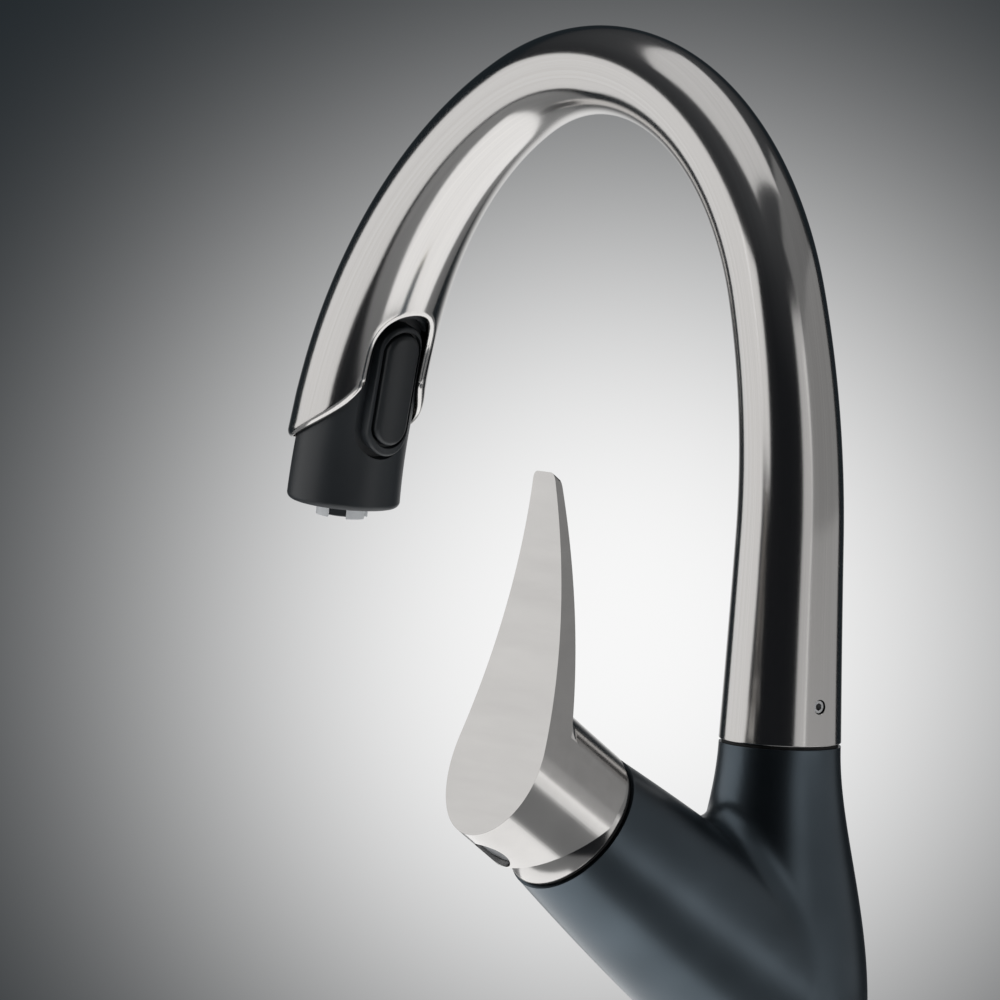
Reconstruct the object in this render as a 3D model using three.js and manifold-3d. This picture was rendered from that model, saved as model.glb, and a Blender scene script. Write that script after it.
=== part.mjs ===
// Single-lever kitchen mixer with an arched, swivelling spout and a pull-out spray.
// Units are millimetres, +Z is up. The origin is the centre of the tap hole on the worktop.
// The spout reaches towards -Y and the lever stands on the +X side.

import * as THREE from "three";
import { mergeVertices } from "three/addons/utils/BufferGeometryUtils.js";
import Module from "manifold-3d";

const wasm = await Module();
wasm.setup();

// ---------------------------------------------------------------- driving dimensions

// Clearances
const SEAT_GAP = 0.3; // between fixed neighbours
const RUNNING_GAP = 0.35; // between neighbours that turn or slide
const FACE_GAP = 0.2; // under a turning face

// Body casting
const NECK_HEIGHT = 150;
const NECK_RADIUS = 17.2;
const BELLY_HEIGHT = 72;
const BELLY_RADIUS = 28.4;
const FOOT_RADIUS = 25.6;
const NECK_FLARE = 23; // length of the upright start of the neck curve
const BELLY_RISE = 31; // length of the upright start of the belly curve
const BELLY_FALL = 24;
const FOOT_FLARE = 24;
const FOOT_LEAN = 0.5;
const NECK_LEAN = 0.4;

// Branch that carries the lever
const BRANCH_ANGLE = 35.7; // degrees above horizontal
const BRANCH_CROSS_DROP = 70.8; // below the neck, where the branch axis meets the column axis
const BRANCH_REACH = 89.7; // from there to the face of the dome ring
const BRANCH_MOUTH_RADIUS = 21.5;
const BRANCH_ROOT_RADIUS = 27.4;
const BRANCH_ROOT_DEPTH = 82; // from the dome ring's face to the root
const BRANCH_TAPER = 1.56;
const CROTCH_FILLET = 8; // rolling-ball radius above the branch
const BELLY_FILLET = 30; // and below it

// Fixing
const BASE_RING_RADIUS = 27.2;
const BASE_RING_HEIGHT = 5;
const BASE_RING_EDGE = 0.8;
const BASE_SEAL_INNER = 20.6;
const BASE_SEAL_OUTER = 23.9;
const BASE_SEAL_HEIGHT = 1.7;
const SHANK_RADIUS = 16.5;
const SHANK_WALL = 2.3;
const SHANK_ENGAGEMENT = 17; // inside the casting
const SHANK_BELOW = 62; // below the worktop's upper face
const WORKTOP_THICKNESS = 40;
const CLAMP_RADIUS = 24.5;
const CLAMP_SEAL_THICKNESS = 3;
const CLAMP_WASHER_THICKNESS = 2;
const CLAMP_NUT_HEIGHT = 12;
const CLAMP_NUT_RADIUS = 24;

// Water and hose passages
const MANIFOLD_HEIGHT = 17.5;
const MANIFOLD_RADIUS = 15.3;
const HOSE_PASSAGE_RADIUS = 8;
const HOSE_PASSAGE_OFFSET = -3;
const INLET_SOCKET_RADIUS = 3.6;
const INLET_SOCKET_DEPTH = 12;
const INLET_X = 6.5;
const INLET_Y = 8.8;
const OUTLET_X = 10.6;
const WATERWAY_RADIUS = 2.8;

// Swivel joint
const NIPPLE_RADIUS = 12.2;
const NIPPLE_THREAD_RADIUS = 13.7;
const NIPPLE_THREAD_LENGTH = 13.7;
const NIPPLE_BORE = 8.5;
const NIPPLE_HEIGHT = 38; // above the neck
const GLIDE_RING_HEIGHT = 5;
const GLIDE_RING_DEPTH = 1; // of its groove
const GLIDE_RING_THICKNESS = 1.55;
const GLIDE_RING_LOW = 3.5;
const GLIDE_RING_HIGH = 29;
const NECK_WASHER_THICKNESS = 0.7;
const NECK_WASHER_RADIUS = 16.5;
const SWIVEL_LIMIT = 60; // degrees each way
const SET_SCREW_HEIGHT = 12.1; // above the neck
const SET_SCREW_RADIUS = 1.75;
const SET_SCREW_TIP = 11.1; // distance of its tip from the column axis
const SET_SCREW_SINK = 0.6; // its head below the tube's surface
const SET_SCREW_SOCKET = 1.1;
const STOP_GROOVE_DEPTH = 1.8;
const STOP_GROOVE_HEIGHT = 4.2;

// Spout
const SPOUT_WALL = 1.2;
const SPOUT_START_RADIUS = 17.3;
const SPOUT_NARROW_RADIUS = 13;
const SPOUT_END_RADIUS = 20.4;
const SPOUT_NARROW_START = 190; // along the centre line
const SPOUT_NARROW_END = 200;
const SPOUT_FLARE_STOP = 14; // the hood keeps one width for this long at its end
const SPOUT_STRAIGHT = 57.5;
const SPOUT_RISE_RADIUS = 220;
const SPOUT_RISE_SWEEP = 18;
const SPOUT_CROWN_RADIUS = 92;
const SPOUT_CROWN_SWEEP = 96;
const SPOUT_FALL_RADIUS = 147;
const SPOUT_FALL_SWEEP = 48.5;
const SPOUT_END_STRAIGHT = 24;
const SPOUT_LIP = 3.2; // steel below the end of the centre line, at the front
const SLEEVE_HEIGHT = 37;

// Window in the spout's end
const WINDOW_HALF_WIDTH = 10.6;
const WINDOW_TOP = 56.3;
const WINDOW_ARCH = 12;
const WINDOW_BOTTOM = 33; // where its straight sides start to spread
const WINDOW_DEPTH = 16.6; // from the axis to the window's straight sides
const END_FRONT_BOW = [-6, 1]; // handles of the slanting end's side view
const END_BACK_BOW = [16.2, 11];

// Spray head, in the frame of the spout's end
const SPRAY_RADIUS = 17.5;
const SPRAY_MOUTH_RADIUS = 18.2;
const SPRAY_BEND_START = 14; // its barrel bends back towards upright below this height
const SPRAY_BEND_RADIUS = 157;
const SPRAY_BEND = 11.5; // degrees
const SPRAY_EDGE = 2;
const SPRAY_SHOULDER = 36; // top of the barrel
const SPRAY_SHOULDER_RADIUS = 17;
const SPRAY_PLUG_RADIUS = 13.5;
const SPRAY_PLUG_TOP = 50;
const SPRAY_COLLAR_RADIUS = 8.6;
const SPRAY_COLLAR_TOP = 61;
const SPRAY_TONGUE_RADIUS = 16.9;
const SPRAY_TONGUE_HALF_WIDTH = 9.3;
const SPRAY_TONGUE_TOP = 54;
const PANEL_SLOPE = 0.09; // the pad and button lean outwards towards the mouth, in mm a mm
const PAD_HALF_WIDTH = 7.7;
const PAD_TOP = 47.6;
const PAD_BOTTOM = 5.2;
const PAD_EDGE = 1.1;
const PAD_FACE = 19.2; // distance of the pad's face from the axis, at the button's middle
const BUTTON_HALF_WIDTH = 6;
const BUTTON_HALF_LENGTH = 18;
const BUTTON_MIDDLE = 27;
const BUTTON_FACE = 20.2;
const BUTTON_EDGE = 0.9;
const BUTTON_THICKNESS = 3.4;
const BUTTON_TRAVEL = 1.5;
const SPOOL_RADIUS = 3;
const SPOOL_LENGTH = 20;
const SPOOL_LAND = 4;
const SPOOL_UPPER_LAND = 3;
const SPOOL_NECK = 5; // thin part below the button
const SPOOL_CONE = 1;
const SPOOL_WAIST = 0.6; // share of its radius
const VALVE_CHAMBER_RADIUS = 9;
const VALVE_CHAMBER_TOP = 19;
const SPRAY_WATERWAY_RADIUS = 4.2;
const NOZZLE_PLATE_RADIUS = 15.6;
const NOZZLE_PLATE_THICKNESS = 3;
const NOZZLE_PLATE_SINK = 1.1;
const NOZZLE_COUNT = 16;
const NOZZLE_CIRCLE = 12;
const AERATOR_RADIUS = 8.4;
const AERATOR_WALL = 1.2;
const AERATOR_DROP = 4.2; // below the spray's rim
const AERATOR_HEIGHT = 9;
const AERATOR_NOTCHES = 4;
const AERATOR_NOTCH_WIDTH = 5.8;
const AERATOR_NOTCH_HEIGHT = 3.2;
const AERATOR_INSERT_RECESS = 0.8;
const CONNECTOR_RADIUS = 5.6;
const CONNECTOR_INSERTION = 6;
const CONNECTOR_HEX = 4;
const BUSH_HEIGHT = 14;
const BUSH_ABOVE_WINDOW = 3;

// Hose
const HOSE_RADIUS = 4.2;
const HOSE_END = -48; // height of its lower end, inside the shank
const HOSE_LEAD = 9; // straight piece above the spray
const HOSE_CURVE = 42; // from there to the spout's centre line
const COUPLING_RADIUS = 6.6;
const COUPLING_LENGTH = 12;

// Lever and cartridge, along the branch axis, from the dome ring's face
const PIVOT_DEPTH = 8.2;
const DOME_RADIUS = 22.45; // sphere about the pivot
const DOME_TOP = 6.5;
const DOME_HOLE = 12;
const DOME_SKIRT = 3.2;
const GASKET_THICKNESS = 0.7;
const GASKET_RADIUS = 20.4;
const NUT_RADIUS = 18.9;
const NUT_BORE = 13;
const NUT_TOP = -3.6;
const NUT_HEIGHT = 8.6;
const NUT_SLOTS = 6;
const HOUSING_RADIUS = 17.4;
const HOUSING_BASE = -36;
const HOUSING_FLOOR = 5.4;
const TOWER_RADIUS = 12.6;
const TOWER_TOP = -4;
const TOWER_BORE = 11.1;
const DISC_CAVITY_RADIUS = 15.7;
const DISC_THICKNESS = 3.6;
const FIXED_DISC_RADIUS = 15.3;
const MOVING_DISC_RADIUS = 12;
const CARRIER_HEIGHT = 7;
const PORT_SEAL_RADIUS = 14;
const PORT_RADIUS = 2.8;
const PORT_Y = 7.2;
const PORT_UP = 3;
const OUTLET_DOWN = 7.4;
const ROTOR_HEIGHT = 10.2;
const ROTOR_SLOT_HALF_LENGTH = 6.2;
const ROTOR_SLOT_HALF_WIDTH = 3.4;
const PIN_RADIUS = 1.5;
const PIN_HALF_LENGTH = 10;
const SPINDLE_HALF = 4;
const SPINDLE_TOP = 25;
const SPINDLE_PADDLE_HALF = 3;
const FINGER_RADIUS = 2.6;
const FINGER_ARM = 9.3; // from the pivot to the finger's tip
const FINGER_PLAY = 0.8;
const LIFT_LIMIT = 20; // degrees

// Lever, in the plane of the branch axis: A runs along the axis, E upwards across it
const FACE_RADIUS = 194;
const FACE_MIDDLE_A = 39.7;
const FACE_MIDDLE_E = 24.9;
const FACE_TILT = 23.55; // degrees between the face's chord and the E direction
const FACE_UP = 50.7;
const FACE_DOWN = 48.7;
const BLADE_TIP_THICKNESS = 2.9;
const BLADE_THICKENING = 0.098;
const BLADE_TIP_HALF_WIDTH = 5.6;
const BLADE_TIP_ROUND = 2.4;
const FLANK_START = 4; // above the hub's axis
const FLANK_BOW = 13.9; // handle of the flank's curve
const HUB_HALF_WIDTH = 19.5;
const HUB_DROP = 22;
const HUB_RADIUS = 21.9;
const HUB_AXIS_DROP = 0.4;
const HUB_DRAFT = 0.0029;
const HUB_RIM = 2;
const HUB_MARGIN = 4; // the cutting shapes reach this far past the lever
const RIM_BEVEL = 20.3; // degrees
const RIM_BEVEL_START = -1;
const POCKET_CEILING = 12;
const PLUG_RADIUS = 5.2;
const PLUG_PLACE = 15.5;
const PLUG_SEAT = 18.9;
const PLUG_THICKNESS = 1.8;
const GRUB_RADIUS = 2.5;
const GRUB_LENGTH = 9;

// Facets
const SIDES_LARGE = 36;
const SIDES_MEDIUM = 24;
const SIDES_SMALL = 14;

// ---------------------------------------------------------------- derived sizes

const radians = THREE.MathUtils.degToRad;
const FOOT_HEIGHT = BASE_RING_HEIGHT + SEAT_GAP;
const SHANK_TOP = FOOT_HEIGHT + SHANK_ENGAGEMENT;
const SHANK_BORE = SHANK_RADIUS - SHANK_WALL;
const MANIFOLD_BASE = SHANK_TOP + SEAT_GAP;
const MANIFOLD_TOP = MANIFOLD_BASE + MANIFOLD_HEIGHT;
const BRANCH_CROSS_HEIGHT = NECK_HEIGHT - BRANCH_CROSS_DROP;
const BRANCH_MOUTH = -(GASKET_THICKNESS + 2 * SEAT_GAP);
const CHAMBER_RADIUS = HOUSING_RADIUS + SEAT_GAP;
const SEAL_THICKNESS = 0.8;
const CHAMBER_FLOOR = HOUSING_BASE - SEAL_THICKNESS - 2 * SEAT_GAP;
const THREAD_RADIUS = NUT_RADIUS + SEAT_GAP;
const HOUSING_SHOULDER = NUT_TOP - NUT_HEIGHT - SEAT_GAP;
const FIXED_DISC_BASE = HOUSING_BASE + HOUSING_FLOOR + SEAT_GAP;
const MOVING_DISC_BASE = FIXED_DISC_BASE + DISC_THICKNESS + SEAT_GAP;
const CARRIER_BASE = MOVING_DISC_BASE + DISC_THICKNESS + SEAT_GAP;
const CARRIER_TOP = CARRIER_BASE + CARRIER_HEIGHT;
const ROTOR_BASE = CARRIER_TOP + SEAT_GAP;
const SPOOL_TOP = BUTTON_FACE - BUTTON_THICKNESS - SEAT_GAP - PANEL_SLOPE * SPOOL_RADIUS;
const FINGER_TIP = -PIVOT_DEPTH - FINGER_ARM;
const DISC_SHIFT = (FINGER_ARM * radians(LIFT_LIMIT)) / 2;
const TUBE_START = NECK_WASHER_THICKNESS + FACE_GAP;
const GLIDE_INNER = NIPPLE_RADIUS - GLIDE_RING_DEPTH + SEAT_GAP;
const GLIDE_OUTER = GLIDE_INNER + GLIDE_RING_THICKNESS;
const SLEEVE_BORE = GLIDE_OUTER + RUNNING_GAP;

const SPOUT_RUNS = [
  { length: SPOUT_STRAIGHT, sweep: 0 },
  { radius: SPOUT_RISE_RADIUS, sweep: radians(SPOUT_RISE_SWEEP) },
  { radius: SPOUT_CROWN_RADIUS, sweep: radians(SPOUT_CROWN_SWEEP) },
  { radius: SPOUT_FALL_RADIUS, sweep: radians(SPOUT_FALL_SWEEP) },
  { length: SPOUT_END_STRAIGHT, sweep: 0 },
];
const SPOUT_LENGTH = SPOUT_RUNS.reduce((sum, run) => sum + (run.length ?? run.radius * run.sweep), 0);
const SPOUT_END_TILT = Math.PI - SPOUT_RUNS.reduce((sum, run) => sum + run.sweep, 0);

// ---------------------------------------------------------------- finishes

function finish(color, roughness, metalness) {
  return new THREE.MeshStandardMaterial({ color, roughness, metalness });
}
const satinSteel = finish(0xbdb8b2, 0.32, 1);
const anthracite = finish(0x2b3138, 0.55, 0.1);
const blackPlastic = finish(0x1b1e22, 0.5, 0);
const whitePlastic = finish(0xe4e4e0, 0.45, 0);
const greyPlastic = finish(0x8d9296, 0.5, 0);
const rubber = finish(0x161616, 0.8, 0);
const brass = finish(0xb79a58, 0.35, 1);
const zincSteel = finish(0xa8abad, 0.4, 1);
const ceramic = finish(0xd9d4cc, 0.25, 0);
const braid = finish(0x4c5055, 0.6, 0.2);

// ---------------------------------------------------------------- modelling helpers

// A closed mesh with shared corners and faces that point outwards.
function closed(geometry) {
  const bare = geometry.index ? geometry.toNonIndexed() : geometry.clone();
  for (const name of Object.keys(bare.attributes)) {
    if (name !== "position") bare.deleteAttribute(name);
  }
  const merged = mergeVertices(bare, 1e-4);
  const corners = merged.index.array;
  const place = merged.getAttribute("position");
  const kept = [];
  const a = new THREE.Vector3();
  const b = new THREE.Vector3();
  const c = new THREE.Vector3();
  let volume = 0;
  for (let i = 0; i < corners.length; i += 3) {
    const [p, q, r] = [corners[i], corners[i + 1], corners[i + 2]];
    if (p === q || q === r || r === p) continue;
    kept.push(p, q, r);
    a.fromBufferAttribute(place, p);
    b.fromBufferAttribute(place, q);
    c.fromBufferAttribute(place, r);
    volume += a.dot(b.cross(c));
  }
  if (volume < 0) {
    for (let i = 0; i < kept.length; i += 3) [kept[i], kept[i + 1]] = [kept[i + 1], kept[i]];
  }
  merged.setIndex(kept);
  return merged;
}

function toSolid(geometry) {
  const mesh = closed(geometry);
  const vertProperties = Float32Array.from(mesh.getAttribute("position").array);
  const triVerts = Uint32Array.from(mesh.index.array);
  return new wasm.Manifold(new wasm.Mesh({ numProp: 3, vertProperties, triVerts }));
}

function toGeometry(solid) {
  const mesh = solid.getMesh();
  const geometry = new THREE.BufferGeometry();
  geometry.setAttribute("position", new THREE.BufferAttribute(Float32Array.from(mesh.vertProperties), 3));
  geometry.setIndex(new THREE.BufferAttribute(Uint32Array.from(mesh.triVerts), 1));
  return geometry;
}

function combine(geometries, step) {
  return toGeometry(geometries.map(toSolid).reduce(step));
}

const join = (...geometries) => combine(geometries, (whole, next) => whole.add(next));
const cut = (...geometries) => combine(geometries, (whole, tool) => whole.subtract(tool));
const common = (...geometries) => combine(geometries, (whole, next) => whole.intersect(next));

// A body of revolution about Z. The profile lists [radius, height] pairs.
function revolve(profile, sides = SIDES_MEDIUM) {
  const points = profile.map(([radius, height]) => new THREE.Vector2(radius, height));
  return new THREE.LatheGeometry(points, sides).rotateX(Math.PI / 2);
}

const rod = (radius, low, high, sides = SIDES_MEDIUM) =>
  revolve([[0, low], [radius, low], [radius, high], [0, high]], sides);

const ring = (inner, outer, low, high, sides = SIDES_MEDIUM) =>
  revolve([[inner, low], [outer, low], [outer, high], [inner, high], [inner, low]], sides);

// A rod from one point to another.
function rodBetween(from, to, radius, sides = SIDES_SMALL) {
  const direction = new THREE.Vector3().subVectors(to, from);
  const turn = new THREE.Quaternion().setFromUnitVectors(Z, direction.clone().normalize());
  const place = new THREE.Matrix4().compose(from, turn, new THREE.Vector3(1, 1, 1));
  return rod(radius, 0, direction.length(), sides).applyMatrix4(place);
}

function block(x, y, z, centre = [0, 0, 0]) {
  return new THREE.BoxGeometry(x, y, z).translate(...centre);
}

// The same outline as straight sides, with no two corners on one spot.
function sided(shape, segments) {
  const points = shape.getPoints(segments);
  const kept = points.filter((point, i) => point.distanceTo(points[(i + 1) % points.length]) > 1e-3);
  return new THREE.Shape(kept);
}

// A prism: the shape's X and Y run along the two given axes, and it is centred on its plane.
function prism(shape, along, up, thickness, segments = 12) {
  const settings = { depth: thickness, bevelEnabled: false };
  const geometry = new THREE.ExtrudeGeometry(sided(shape, segments), settings);
  geometry.translate(0, 0, -thickness / 2);
  const across = new THREE.Vector3().crossVectors(along, up);
  return geometry.applyMatrix4(new THREE.Matrix4().makeBasis(along, up, across));
}

// A solid through a list of cross-sections, each a ring of as many points.
function loft(sections, ringClosed = false) {
  const count = sections[0].length;
  const positions = [];
  const corners = [];
  for (const section of sections) {
    for (const point of section) positions.push(point.x, point.y, point.z);
  }
  const spans = ringClosed ? sections.length : sections.length - 1;
  for (let i = 0; i < spans; i += 1) {
    const low = i * count;
    const high = ((i + 1) % sections.length) * count;
    for (let j = 0; j < count; j += 1) {
      const k = (j + 1) % count;
      corners.push(low + j, low + k, high + k);
      corners.push(low + j, high + k, high + j);
    }
  }
  if (!ringClosed) {
    const last = (sections.length - 1) * count;
    for (let j = 1; j < count - 1; j += 1) {
      corners.push(0, j + 1, j);
      corners.push(last, last + j, last + j + 1);
    }
  }
  const geometry = new THREE.BufferGeometry();
  geometry.setAttribute("position", new THREE.Float32BufferAttribute(positions, 3));
  geometry.setIndex(corners);
  return geometry;
}

// Points of an arc in the plane of a profile, as [radius, height] pairs.
function arc(centreR, centreZ, radius, fromDegrees, toDegrees, steps) {
  return Array.from({ length: steps + 1 }, (_, i) => {
    const angle = radians(fromDegrees + ((toDegrees - fromDegrees) * i) / steps);
    return [centreR + radius * Math.cos(angle), centreZ + radius * Math.sin(angle)];
  });
}

// A shape with straight sides and round ends, long along its Y.
function stadium(halfWidth, low, high) {
  const shape = new THREE.Shape();
  shape.moveTo(-halfWidth, low + halfWidth);
  shape.absarc(0, low + halfWidth, halfWidth, Math.PI, 2 * Math.PI, false);
  shape.absarc(0, high - halfWidth, halfWidth, 0, Math.PI, false);
  shape.closePath();
  return shape;
}

const X = new THREE.Vector3(1, 0, 0);
const Y = new THREE.Vector3(0, 1, 0);
const Z = new THREE.Vector3(0, 0, 1);

// ---------------------------------------------------------------- frames

const mixer = new THREE.Group();

const spoutFrame = new THREE.Group();
spoutFrame.position.z = NECK_HEIGHT;
mixer.add(spoutFrame);

// Frame of the spout's end: Z runs back up the spout and Y faces the column.
const dockFrame = new THREE.Group();
const dockPoint = spoutPoint(SPOUT_LENGTH);
dockFrame.position.copy(dockPoint.position);
dockFrame.rotation.x = -SPOUT_END_TILT;
spoutFrame.add(dockFrame);

// Frame of the spray's rim: its Z runs up the spray's bent axis.
const mouthFrame = new THREE.Group();
mouthFrame.position.copy(sprayCentre(radians(SPRAY_BEND)));
mouthFrame.rotation.x = radians(SPRAY_BEND);
dockFrame.add(mouthFrame);

// Frame of the branch: Z runs outwards along the cartridge axis and X points down across it.
const branchFrame = new THREE.Group();
branchFrame.position.set(
  BRANCH_REACH * Math.cos(radians(BRANCH_ANGLE)),
  0,
  BRANCH_CROSS_HEIGHT + BRANCH_REACH * Math.sin(radians(BRANCH_ANGLE)),
);
branchFrame.rotation.y = Math.PI / 2 - radians(BRANCH_ANGLE);
mixer.add(branchFrame);

mixer.updateMatrixWorld(true);
const dockInSpout = dockFrame.matrix.clone();
const mouthInDock = mouthFrame.matrix.clone();
const branchInWorld = branchFrame.matrix.clone();

function addPart(frame, name, geometry, material) {
  const mesh = new THREE.Mesh(closed(geometry), material);
  mesh.name = name;
  frame.add(mesh);
  return mesh;
}

// ---------------------------------------------------------------- spout

// Place and heading on the spout's centre line. The heading is the angle from straight up.
function spoutPoint(along) {
  let forward = 0;
  let height = 0;
  let heading = 0;
  let rest = along;
  for (const run of SPOUT_RUNS) {
    const length = run.length ?? run.radius * run.sweep;
    const last = run === SPOUT_RUNS[SPOUT_RUNS.length - 1];
    const part = last ? rest : Math.min(rest, length);
    if (run.sweep === 0) {
      forward += part * Math.sin(heading);
      height += part * Math.cos(heading);
    } else {
      const turn = part / run.radius;
      forward += run.radius * (Math.cos(heading) - Math.cos(heading + turn));
      height += run.radius * (Math.sin(heading + turn) - Math.sin(heading));
      heading += turn;
    }
    rest -= part;
    if (rest <= 0) break;
  }
  return { position: new THREE.Vector3(0, -forward, height), heading };
}

// Outer radius of the tube: tapered up to the crown, then flared into the spray's hood.
function spoutRadius(along) {
  if (along < SPOUT_NARROW_START) {
    const share = (SPOUT_NARROW_START - along) / SPOUT_NARROW_START;
    return SPOUT_NARROW_RADIUS + (SPOUT_START_RADIUS - SPOUT_NARROW_RADIUS) * share ** 1.8;
  }
  const flare = SPOUT_LENGTH - SPOUT_FLARE_STOP - SPOUT_NARROW_END;
  const share = THREE.MathUtils.clamp((along - SPOUT_NARROW_END) / flare, 0, 1);
  return SPOUT_NARROW_RADIUS + (SPOUT_END_RADIUS - SPOUT_NARROW_RADIUS) * (1 - (1 - share ** 2.55) ** 1.35);
}

function spoutSection(along, inset, sides) {
  const { position, heading } = spoutPoint(along);
  const outward = new THREE.Vector3(0, -Math.cos(heading), -Math.sin(heading));
  const radius = spoutRadius(along) - inset;
  return Array.from({ length: sides }, (_, i) => {
    const angle = (2 * Math.PI * i) / sides;
    return position
      .clone()
      .addScaledVector(X, radius * Math.sin(angle))
      .addScaledVector(outward, radius * Math.cos(angle));
  });
}

function spoutSweep(from, to, inset, steps, sides) {
  const sections = Array.from({ length: steps + 1 }, (_, i) => {
    return spoutSection(from + ((to - from) * i) / steps, inset, sides);
  });
  return loft(sections);
}

// The slanting, curved end of the steel, open towards the column.
function spoutEndCutter() {
  const far = 2 * SPOUT_END_RADIUS;
  const shape = new THREE.Shape();
  shape.moveTo(-far, -SPOUT_LIP);
  shape.lineTo(-SPOUT_END_RADIUS, -SPOUT_LIP);
  shape.bezierCurveTo(...END_FRONT_BOW, ...END_BACK_BOW, WINDOW_DEPTH, WINDOW_BOTTOM);
  shape.lineTo(far, WINDOW_BOTTOM);
  shape.lineTo(far, -far);
  shape.lineTo(-far, -far);
  shape.closePath();
  return prism(shape, Y, Z, 3 * SPOUT_END_RADIUS, 16);
}

function windowCutter() {
  const shape = new THREE.Shape();
  const spring = WINDOW_TOP - WINDOW_ARCH;
  shape.moveTo(WINDOW_HALF_WIDTH, WINDOW_BOTTOM - WINDOW_ARCH);
  shape.lineTo(WINDOW_HALF_WIDTH, spring);
  shape.absellipse(0, spring, WINDOW_HALF_WIDTH, WINDOW_ARCH, 0, Math.PI, false, 0);
  shape.lineTo(-WINDOW_HALF_WIDTH, WINDOW_BOTTOM - WINDOW_ARCH);
  shape.closePath();
  const depth = SPOUT_END_RADIUS;
  return prism(shape, X, Z, depth, 10).translate(0, SPOUT_NARROW_RADIUS + depth / 2, 0);
}

function spoutTube() {
  const outer = spoutSweep(TUBE_START, SPOUT_LENGTH + 2 * SPOUT_LIP, 0, 28, 28);
  const inner = spoutSweep(TUBE_START - 2, SPOUT_LENGTH + 4 * SPOUT_LIP, SPOUT_WALL, 24, 20);
  const screwHole = rod(SET_SCREW_RADIUS + SEAT_GAP, NIPPLE_RADIUS, 2 * SPOUT_START_RADIUS, SIDES_SMALL);
  screwHole.rotateX(-Math.PI / 2).translate(0, 0, SET_SCREW_HEIGHT);
  const end = spoutEndCutter().applyMatrix4(dockInSpout);
  const window = windowCutter().applyMatrix4(dockInSpout);
  return cut(outer, inner, screwHole, end, window);
}

// Steel bush welded inside the tube's foot. It runs on the glide rings.
function spoutSleeve() {
  const low = TUBE_START;
  const high = TUBE_START + SLEEVE_HEIGHT;
  const outer = (height) => spoutRadius(height) - SPOUT_WALL - SEAT_GAP;
  const profile = [
    [SLEEVE_BORE, low],
    [outer(low), low],
    [outer((low + high) / 2), (low + high) / 2],
    [outer(high), high],
    [SLEEVE_BORE, high],
    [SLEEVE_BORE, low],
  ];
  const hole = rod(SET_SCREW_RADIUS + SEAT_GAP, NIPPLE_RADIUS, 2 * SPOUT_START_RADIUS, SIDES_SMALL);
  hole.rotateX(-Math.PI / 2).translate(0, 0, SET_SCREW_HEIGHT);
  return cut(revolve(profile, SIDES_MEDIUM), hole);
}

function setScrew() {
  const head = spoutRadius(SET_SCREW_HEIGHT) - SET_SCREW_SINK;
  const cone = SET_SCREW_RADIUS * 0.7;
  const profile = [
    [0, SET_SCREW_TIP],
    [cone, SET_SCREW_TIP],
    [SET_SCREW_RADIUS, SET_SCREW_TIP + 1],
    [SET_SCREW_RADIUS, head],
    [0, head],
  ];
  const shank = revolve(profile, SIDES_SMALL);
  const socket = rod(SET_SCREW_SOCKET, head - 2, head + 1, 6);
  return cut(shank, socket).rotateX(-Math.PI / 2).translate(0, 0, SET_SCREW_HEIGHT);
}

addPart(spoutFrame, "spout_tube", spoutTube(), satinSteel);
addPart(spoutFrame, "spout_sleeve", spoutSleeve(), zincSteel);
addPart(spoutFrame, "set_screw", setScrew(), zincSteel);

// Plastic guide above the window. The spray's collar docks in it.
function dockingBush() {
  const low = SPOUT_LENGTH - WINDOW_TOP - BUSH_ABOVE_WINDOW - BUSH_HEIGHT;
  const outer = spoutSweep(low, low + BUSH_HEIGHT, SPOUT_WALL + 2 * SEAT_GAP, 3, 20);
  const bore = rod(SPRAY_COLLAR_RADIUS + RUNNING_GAP, 0, 2 * WINDOW_TOP, 24).applyMatrix4(dockInSpout);
  return cut(outer, bore);
}
addPart(spoutFrame, "docking_bush", dockingBush(), greyPlastic);

// ---------------------------------------------------------------- spray head

// Centre of the spray's barrel, which bends back towards upright below the steel.
function sprayCentre(angle) {
  const inward = SPRAY_BEND_RADIUS * (1 - Math.cos(angle));
  return new THREE.Vector3(0, inward, SPRAY_BEND_START - SPRAY_BEND_RADIUS * Math.sin(angle));
}

function spraySection(angle, radius, rise, sides) {
  const centre = sprayCentre(angle);
  const axis = new THREE.Vector3(0, -Math.sin(angle), Math.cos(angle));
  const side = new THREE.Vector3(0, Math.cos(angle), Math.sin(angle));
  return Array.from({ length: sides }, (_, i) => {
    const turn = (2 * Math.PI * i) / sides;
    return centre
      .clone()
      .addScaledVector(axis, rise)
      .addScaledVector(X, radius * Math.sin(turn))
      .addScaledVector(side, radius * Math.cos(turn));
  });
}

function sprayBarrel() {
  const bend = radians(SPRAY_BEND);
  const shoulder = SPRAY_SHOULDER - SPRAY_BEND_START;
  const sections = [spraySection(0, SPRAY_SHOULDER_RADIUS, shoulder, SIDES_LARGE)];
  for (let i = 0; i <= 4; i += 1) {
    const share = i / 4;
    const rise = SPRAY_EDGE * share;
    const radius = SPRAY_RADIUS + (SPRAY_MOUTH_RADIUS - SPRAY_RADIUS) * share;
    sections.push(spraySection(bend * share, radius, rise, SIDES_LARGE));
  }
  for (let i = 1; i <= 3; i += 1) {
    const turn = (Math.PI / 2) * (i / 3);
    const radius = SPRAY_MOUTH_RADIUS - SPRAY_EDGE * (1 - Math.cos(turn));
    sections.push(spraySection(bend, radius, SPRAY_EDGE * (1 - Math.sin(turn)), SIDES_LARGE));
  }
  return loft(sections);
}

// Leans a piece of the panel: its distance from the axis grows towards the mouth.
function lean(geometry) {
  const shear = new THREE.Matrix4().makeShear(0, 0, 0, 0, 0, -PANEL_SLOPE);
  return geometry.translate(0, 0, -BUTTON_MIDDLE).applyMatrix4(shear).translate(0, 0, BUTTON_MIDDLE);
}

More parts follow.
